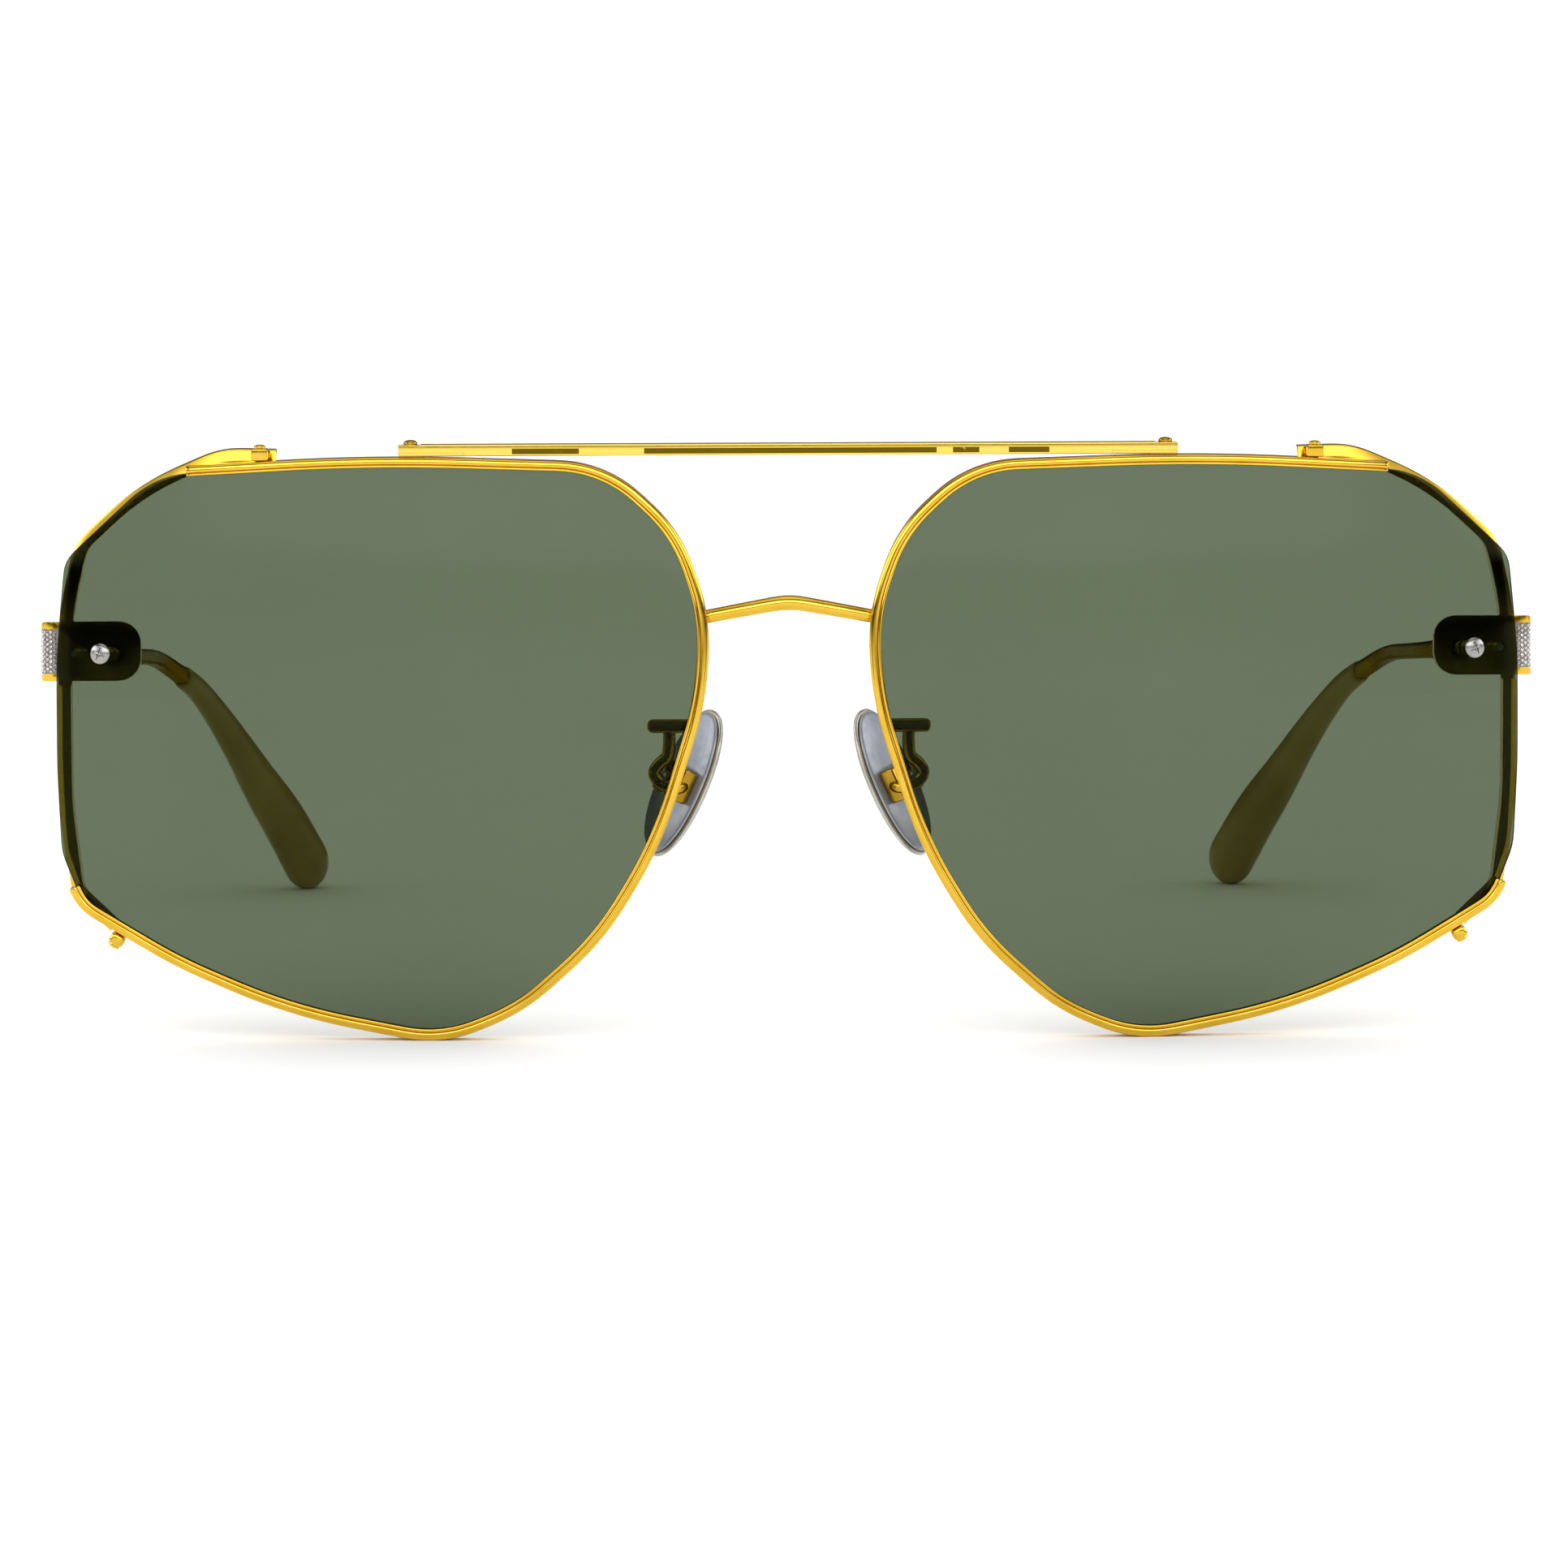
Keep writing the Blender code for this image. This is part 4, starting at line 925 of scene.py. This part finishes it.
def build_end_piece():
    """Plate behind the lens that bends back to the hinge, with its lugs and its inlay recess."""
    top = PLATE_HEIGHT / 2
    body = plan_solid(wall_outline(0, PLATE_THICKNESS, PLATE_INNER_X, WALL_REAR_Y), top)
    front = ((PLATE_INNER_X, -top, PLATE_CORNER), (WALL_OUTER_X, -top, WALL_EDGE),
             (WALL_OUTER_X, top, WALL_EDGE), (PLATE_INNER_X, top, PLATE_CORNER))
    outline = moved(plan_solid(front, 20), STAND)
    body = bevelled(combined(body, ("INTERSECT", outline)), 0.22, 4)
    recess = plan_solid(wall_outline(-1, INLAY_DEPTH + 1, INLAY_START_X - 0.05, INLAY_REAR_Y + 0.05),
                        INLAY_HEIGHT / 2 + 0.05)
    steps = [("DIFFERENCE", recess)]
    for sign in (1, -1):
        lug = bevelled(plan_solid(LUG_PLAN, (LUG_OUTER - LUG_INNER) / 2), 0.1, 3)
        lug_place = Matrix.Translation((0, 0, sign * (LUG_INNER + LUG_OUTER) / 2))
        steps.append(("UNION", moved(lug, lug_place)))
    steps.append(("DIFFERENCE", cylinder(HINGE_BORE, -4, 4)))
    hole = moved(cylinder(LENS_SCREW_HOLE, -5, 0),
                 HINGE_FRAME.inverted() @ surface_frame(*LENS_SCREW_AT))
    steps.append(("DIFFERENCE", hole))
    mesh = combined(body, *steps)
    # The plate's front face behind the lens gets painted shade, the near-black gold
    plate_normal = Vector((PLATE_SLOPE, -1, 0)).normalized()
    for face in mesh.polygons:
        if face.normal.dot(plate_normal) > 0.97 and face.center.x < INLAY_START_X - 0.1:
            face.material_index = 1
    pair("end_plate", moved(mesh, HINGE_FRAME), [GOLD, GOLD_PAINTED_BLACK_SHADE], ["end_piece"], smooth=30)


def faceted_bead(radius, height):
    """One small cut bead, table up, about Z."""
    return turned([(0, height), (radius * 0.5, height), (radius * 0.92, height * 0.45), (radius, 0.0),
                   (radius, -0.1), (0, -0.1)], 8)


def build_inlay():
    """Silver inlay: a tray full of small cut beads with grains between them."""
    tray_depth = 0.1
    plan = wall_outline(INLAY_DEPTH - tray_depth, tray_depth, INLAY_START_X, INLAY_REAR_Y)
    tray = moved(plan_solid(plan, INLAY_HEIGHT / 2), HINGE_FRAME)
    line = round_corners(plan[1:4], False)
    rows = 9
    pitch = INLAY_HEIGHT / rows
    spots = evenly(line, pitch * 0.87, False)
    bead = faceted_bead(pitch * 0.42, 0.11)
    grain = turned([(0, 0.09), (0.045, 0.06), (0.06, 0.0), (0, 0.0)], 6)

    def build(work):
        for index in range(1, len(spots) - 1):
            heading = spots[index + 1] - spots[index - 1]
            outward = Vector((heading.y, -heading.x, 0)).normalized()
            turn = outward.to_track_quat("Z", "Y").to_matrix().to_4x4()
            shift = (index % 2) * 0.5
            for row in range(rows - index % 2):
                z = (row + 0.5 + shift - rows / 2) * pitch
                for shape, lift in ((bead, 0.0), (grain, pitch * 0.5)):
                    spin = Matrix.Rotation(random.uniform(0, 0.8), 4, "Z")
                    spot = Vector((spots[index].x, spots[index].y, z + lift))
                    before = len(work.verts)
                    work.from_mesh(shape)
                    work.verts.ensure_lookup_table()
                    bmesh.ops.transform(work, matrix=Matrix.Translation(spot) @ turn @ spin,
                                        verts=work.verts[before:])

    beads = edit(bpy.data.meshes.new("beads"), build)
    pair("inlay_tray", tray, [PAVE], ["inlay"])
    pair("inlay_beads", moved(beads, HINGE_FRAME), [STONE], smooth=20)


def build_fixings():
    """Hinge screw, lens screw with its cross recess, nut and peg."""
    hinge = [(0, 2.95), (0.55, 2.93), (0.75, 2.87), (0.87, 2.76), (0.9, 2.62), (0.9, 2.42),
             (0.87, 2.38), (0.5, 2.38), (0.5, -2.2), (0.44, -2.25), (0, -2.25)]
    slot = block((3, 0.3, 0.4), (0, 0, 3.0))
    screw = combined(turned(hinge), ("DIFFERENCE", slot))
    pair("hinge_pin", moved(screw, HINGE_FRAME), [STEEL], ["hinge_screw"])
    place = surface_frame(*LENS_SCREW_AT)
    face = LENS_THICKNESS / 2 + 0.05
    head = [(BOLT_HEAD * math.sin(0.2 * step), BOLT_RIM + BOLT_DOME * math.cos(0.2 * step))
            for step in range(8)]
    head += [(BOLT_HEAD, 0.2), (BOLT_HEAD, 0.06), (BOLT_HEAD - 0.05, 0.0), (BOLT_SHANK, 0.0)]
    profile = [(radius, face + height) for radius, height in head]
    profile += [(BOLT_SHANK, -3.85), (BOLT_SHANK - 0.05, -3.9), (0, -3.9)]
    cross = [("DIFFERENCE", moved(block((1.3, 0.27, 0.5), (0, 0, face + 0.55), 0.05, 2),
                                  Matrix.Rotation(turn, 4, "Z"))) for turn in BOLT_CROSS_TURNS]
    dimple = turned([(0, 1.0), (0.5, 1.0), (0.12, 0.25), (0, 0.2)], 24)
    cross.append(("DIFFERENCE", moved(dimple, Matrix.Translation((0, 0, face)))))
    bolt = combined(turned(profile, 48), *cross)
    # Faces inside the cross recess and dimple get the painted shade
    for polygon in bolt.polygons:
        from_axis = math.hypot(polygon.center.x, polygon.center.y)
        around = min(1.5, math.asin(min(1, from_axis / BOLT_HEAD)))
        dome = face + BOLT_RIM + BOLT_DOME * math.cos(around)
        if from_axis < 0.8 and face < polygon.center.z < dome - 0.03:
            polygon.material_index = 1
    pair("lens_bolt", moved(bolt, place), [STEEL, STEEL_PAINTED_RECESS_SHADE], ["lens_screw"], smooth=30)
    nut = bevelled(cylinder(1.25, -3.7, -2.65, 6), 0.12, 3)
    nut = combined(nut, ("DIFFERENCE", cylinder(0.65, -6, 0)))
    pair("lens_nut_hex", moved(nut, place), [STEEL], ["lens_nut"])
    peg = bevelled(cylinder(0.38, -1.05, 0.2, 32), 0.08, 3)
    pair("lens_pin", moved(peg, surface_frame(*LENS_PEG_AT)), [TIN], ["lens_peg"])


def core_path(extra):
    """Middle line of the core wire inside the tip, run on by extra at its end."""
    tip_path = smooth_path(TIP_STATIONS, 2)
    root = Vector(TEMPLE_STATIONS[-1][:3])
    points = [root]
    for station in tip_path[1:]:
        if (station.to_3d() - root).length < CORE_LENGTH:
            points.append(station.to_3d())
    points.insert(0, root - (points[1] - root).normalized() * 1.2)
    if extra:
        points.append(points[-1] + (points[-1] - points[-2]).normalized() * extra)
    return smooth_path(points, 3)


def build_temple():
    """Temple bar with its knuckle and core wire, and the acetate sleeve."""
    bar = loft(TEMPLE_STATIONS, power=3.4)
    knuckle = bevelled(plan_solid(KNUCKLE_PLAN, LUG_INNER - 0.1), 0.08, 3)
    core = tube(core_path(0), CORE_RADIUS)
    bore = cylinder(HINGE_BORE, -4, 4)
    bar = combined(bar, ("UNION", core), ("UNION", knuckle), ("DIFFERENCE", bore))
    pair("temple_bar", moved(bar, HINGE_FRAME), [GOLD_PAINTED_OLIVE_SHADE], ["temple"], "temple", 40)
    tip = loft(TIP_STATIONS, dome=TIP_DOME_LENGTH, start_round=0.3)
    tip = combined(tip, ("DIFFERENCE", tube(core_path(0.3), CORE_BORE)))
    pair("acetate_tip", moved(tip, HINGE_FRAME), [ACETATE], ["temple_tip"], "temple", 50)


def dished(drawn, levels):
    """A closed oval solid, drawn in from the pad's edge, from (scale, y) levels that close it."""
    half_x, half_z = PAD_WIDTH / 2 - drawn, PAD_LENGTH / 2 - drawn
    shape = []
    for step in range(64):
        angle = math.tau * step / 64
        shape.append((half_x * rounded(math.cos(angle), PAD_OVAL_POWER),
                      half_z * rounded(math.sin(angle), PAD_OVAL_POWER)))
    rings = [[Vector((x * scale, y, z * scale)) for x, z in shape] for scale, y in levels]
    return rings_mesh(rings)


def build_nose_pad():
    """Nose pad, its trim, backing, box and screw."""
    crown = PAD_THICKNESS - PAD_EDGE_HEIGHT - 0.02
    angles = [math.pi / 2 * step / 12 for step in range(12)]
    levels = [(0.4, 0.0), (0.965, 0.0), (0.99, 0.04), (1.0, 0.12),
              *((math.cos(a), PAD_EDGE_HEIGHT + crown * math.sin(a)) for a in angles),
              (0.05, PAD_THICKNESS - 0.02)]
    pad = dished(0.0, levels)
    pair("pad_face", moved(pad, PAD_FRAME), [PAD_EDGE], ["nose_pad"], "pad", 60)
    trim = dished(0.2, [(0.5, -0.07), (0.975, -0.07), (0.99, -0.05), (0.99, -0.02), (0.975, -0.01),
                        (0.5, -0.01)])
    pair("pad_trim", moved(trim, PAD_FRAME), [GOLD_DARK], (), "pad", 60)
    plate = dished(0.36, [(0.3, -0.08), (0.98, -0.08), (1.0, -0.12), (1.0, -0.26), (0.985, -0.34),
                          (0.94, -0.40), (0.5, -0.43), (0.1, -0.44)])
    plate = moved(plate, PAD_FRAME)
    pair("pad_backing_plate", plate, [PAD_GREY], ["pad_backing"], "pad", 60)
    back_y = PAD_CAGE_FRONT_Y - PAD_CAGE_SIZE[1]
    cage = block(PAD_CAGE_SIZE, (PAD_CAGE_X, (back_y + PAD_CAGE_FRONT_Y) / 2, 0), 0.25, 4)
    groove = block((PAD_CAGE_GROOVE, 0.9, 5), (0, back_y, 0), 0.2)
    cage = combined(cage, ("DIFFERENCE", groove))
    pair("pad_cage", moved(cage, PAD_FRAME), [GOLD_DARK], ["pad_box"], "pad")
    place = PAD_FRAME @ Matrix.Translation((0, back_y, 0)) @ STAND
    screw = moved(dome_screw(0.6, 0.35, 0.8, 0.15), place)
    pair("pad_bolt", screw, [STEEL], ["pad_screw"], "pad")


def build_pad_arm():
    """Arm wire from its foot behind the rim, hooked round to the pad box."""
    path = relaxed(smooth_path(PAD_ARM_POINTS, 8), 2, False)
    arm = tube(path, PAD_ARM_RADIUS)
    foot = block(PAD_FOOT_SIZE, PAD_FOOT_AT, 0.55, 6)
    pair("pad_arm_wire", combined(arm, ("UNION", foot)), [GOLD_PAINTED_OLIVE_SHADE], ["pad_arm"], smooth=50)


build_rim()
build_lens()
build_side_band()
build_posts()
build_top_bar()
build_bridge()
build_end_piece()
build_inlay()
build_fixings()
build_temple()
build_nose_pad()
build_pad_arm()


# -------- stage, light, camera

WHITE_STRENGTH = 1.5
BRIGHTEST = 3.4
# What the metal reflects, as (place, level): from the ground up, to the side, and to the rear
LIGHT_BY_HEIGHT = (
    (0.0, 0.6), (0.42, 0.5), (0.44, 0.7), (0.475, 1.4), (0.52, 1.4), (0.55, 0.8), (0.575, 0.12),
    (0.61, 0.12), (0.635, 3.4), (0.80, 3.0), (0.84, 0.5), (0.93, 0.2), (0.96, 1.2),
)
LIGHT_BY_SIDE = ((0.0, 1.0), (0.45, 1.0), (0.55, 0.25), (0.70, 0.25), (0.78, 1.0), (1.0, 1.0))
LIGHT_BEHIND = ((0.0, 1.0), (0.3, 1.0), (0.55, 0.3), (1.0, 0.15))


def build_stage():
    """A wide pale floor."""
    def build(work):
        bmesh.ops.create_grid(work, x_segments=2, y_segments=2, size=6.0)
    material, tree, shader = shader_of("pale_floor")
    set_inputs(shader, Specular_IOR_Level=0.1)
    vary_colour(tree, noise(tree, 4), shader, (0.89, 0.89, 0.885), (0.9, 0.9, 0.9))
    vary_roughness(tree, noise(tree, 40), shader, 0.7, 0.85)
    floor = bpy.data.objects.new("floor", mesh_from(build))
    floor.data.materials.append(material)
    bpy.context.scene.collection.objects.link(floor)


def level_ramp(tree, source, stops, full=1.0):
    """Shares of the full level over the source, from (position, level) stops."""
    ramp = tree.nodes.new("ShaderNodeValToRGB")
    while len(ramp.color_ramp.elements) < len(stops):
        ramp.color_ramp.elements.new(0.5)
    for element, (position, level) in zip(ramp.color_ramp.elements, stops):
        element.position = position
        element.color = (level / full, level / full, level / full, 1)
    tree.links.new(source, ramp.inputs["Fac"])
    return ramp.outputs["Color"]


def studio_light():
    """White surroundings, with soft boxes and dark gaps between them for the metal to reflect."""
    world = bpy.data.worlds.new("studio")
    bpy.context.scene.world = world
    world.use_nodes = True
    tree = world.node_tree
    plain = tree.nodes["Background"]
    plain.inputs["Color"].default_value = (1, 1, 1, 1)
    plain.inputs["Strength"].default_value = WHITE_STRENGTH
    studio = tree.nodes.new("ShaderNodeBackground")
    x, y, z = split_place(tree, "Generated")
    height = tree.nodes.new("ShaderNodeMapRange")
    height.inputs["From Min"].default_value = -1.0
    tree.links.new(z, height.inputs["Value"])
    levels = level_ramp(tree, height.outputs["Result"], LIGHT_BY_HEIGHT, BRIGHTEST)
    aside = level_ramp(tree, maths(tree, "ABSOLUTE", x), LIGHT_BY_SIDE)
    behind = level_ramp(tree, y, LIGHT_BEHIND)
    for share in (aside, behind):
        both = tree.nodes.new("ShaderNodeVectorMath")
        both.operation = "MULTIPLY"
        tree.links.new(levels, both.inputs[0])
        tree.links.new(share, both.inputs[1])
        levels = both.outputs["Vector"]
    tree.links.new(levels, studio.inputs["Color"])
    studio.inputs["Strength"].default_value = BRIGHTEST
    path = tree.nodes.new("ShaderNodeLightPath")
    mix = tree.nodes.new("ShaderNodeMixShader")
    tree.links.new(path.outputs["Is Glossy Ray"], mix.inputs["Fac"])
    tree.links.new(plain.outputs["Background"], mix.inputs[1])
    tree.links.new(studio.outputs["Background"], mix.inputs[2])
    tree.links.new(mix.outputs["Shader"], tree.nodes["World Output"].inputs["Surface"])


def place_camera():
    """Camera a little above the glasses, 700 mm in front of them."""
    distance = 0.7
    width_at_front = 0.15456
    sensor_width = 36.0
    target = FRAME_SHIFT + Vector((-0.57, 0, 25.5)) * MM
    azimuth, elevation, roll = math.radians(0.95), math.radians(5.4), math.radians(-0.19)
    back = Vector((-math.sin(azimuth) * math.cos(elevation), -math.cos(azimuth) * math.cos(elevation),
                   math.sin(elevation)))
    data = bpy.data.cameras.new("camera")
    data.sensor_width = sensor_width
    data.lens = sensor_width * distance / width_at_front
    data.clip_start = 0.01
    data.clip_end = 50.0
    camera = bpy.data.objects.new("camera", data)
    bpy.context.scene.collection.objects.link(camera)
    camera.location = target + back * distance
    camera.rotation_mode = "QUATERNION"
    camera.rotation_quaternion = (-back).to_track_quat("-Z", "Y") @ Quaternion((0, 0, 1), roll)
    bpy.context.scene.camera = camera


build_stage()
studio_light()
place_camera()
bpy.context.scene.view_settings.view_transform = "Standard"
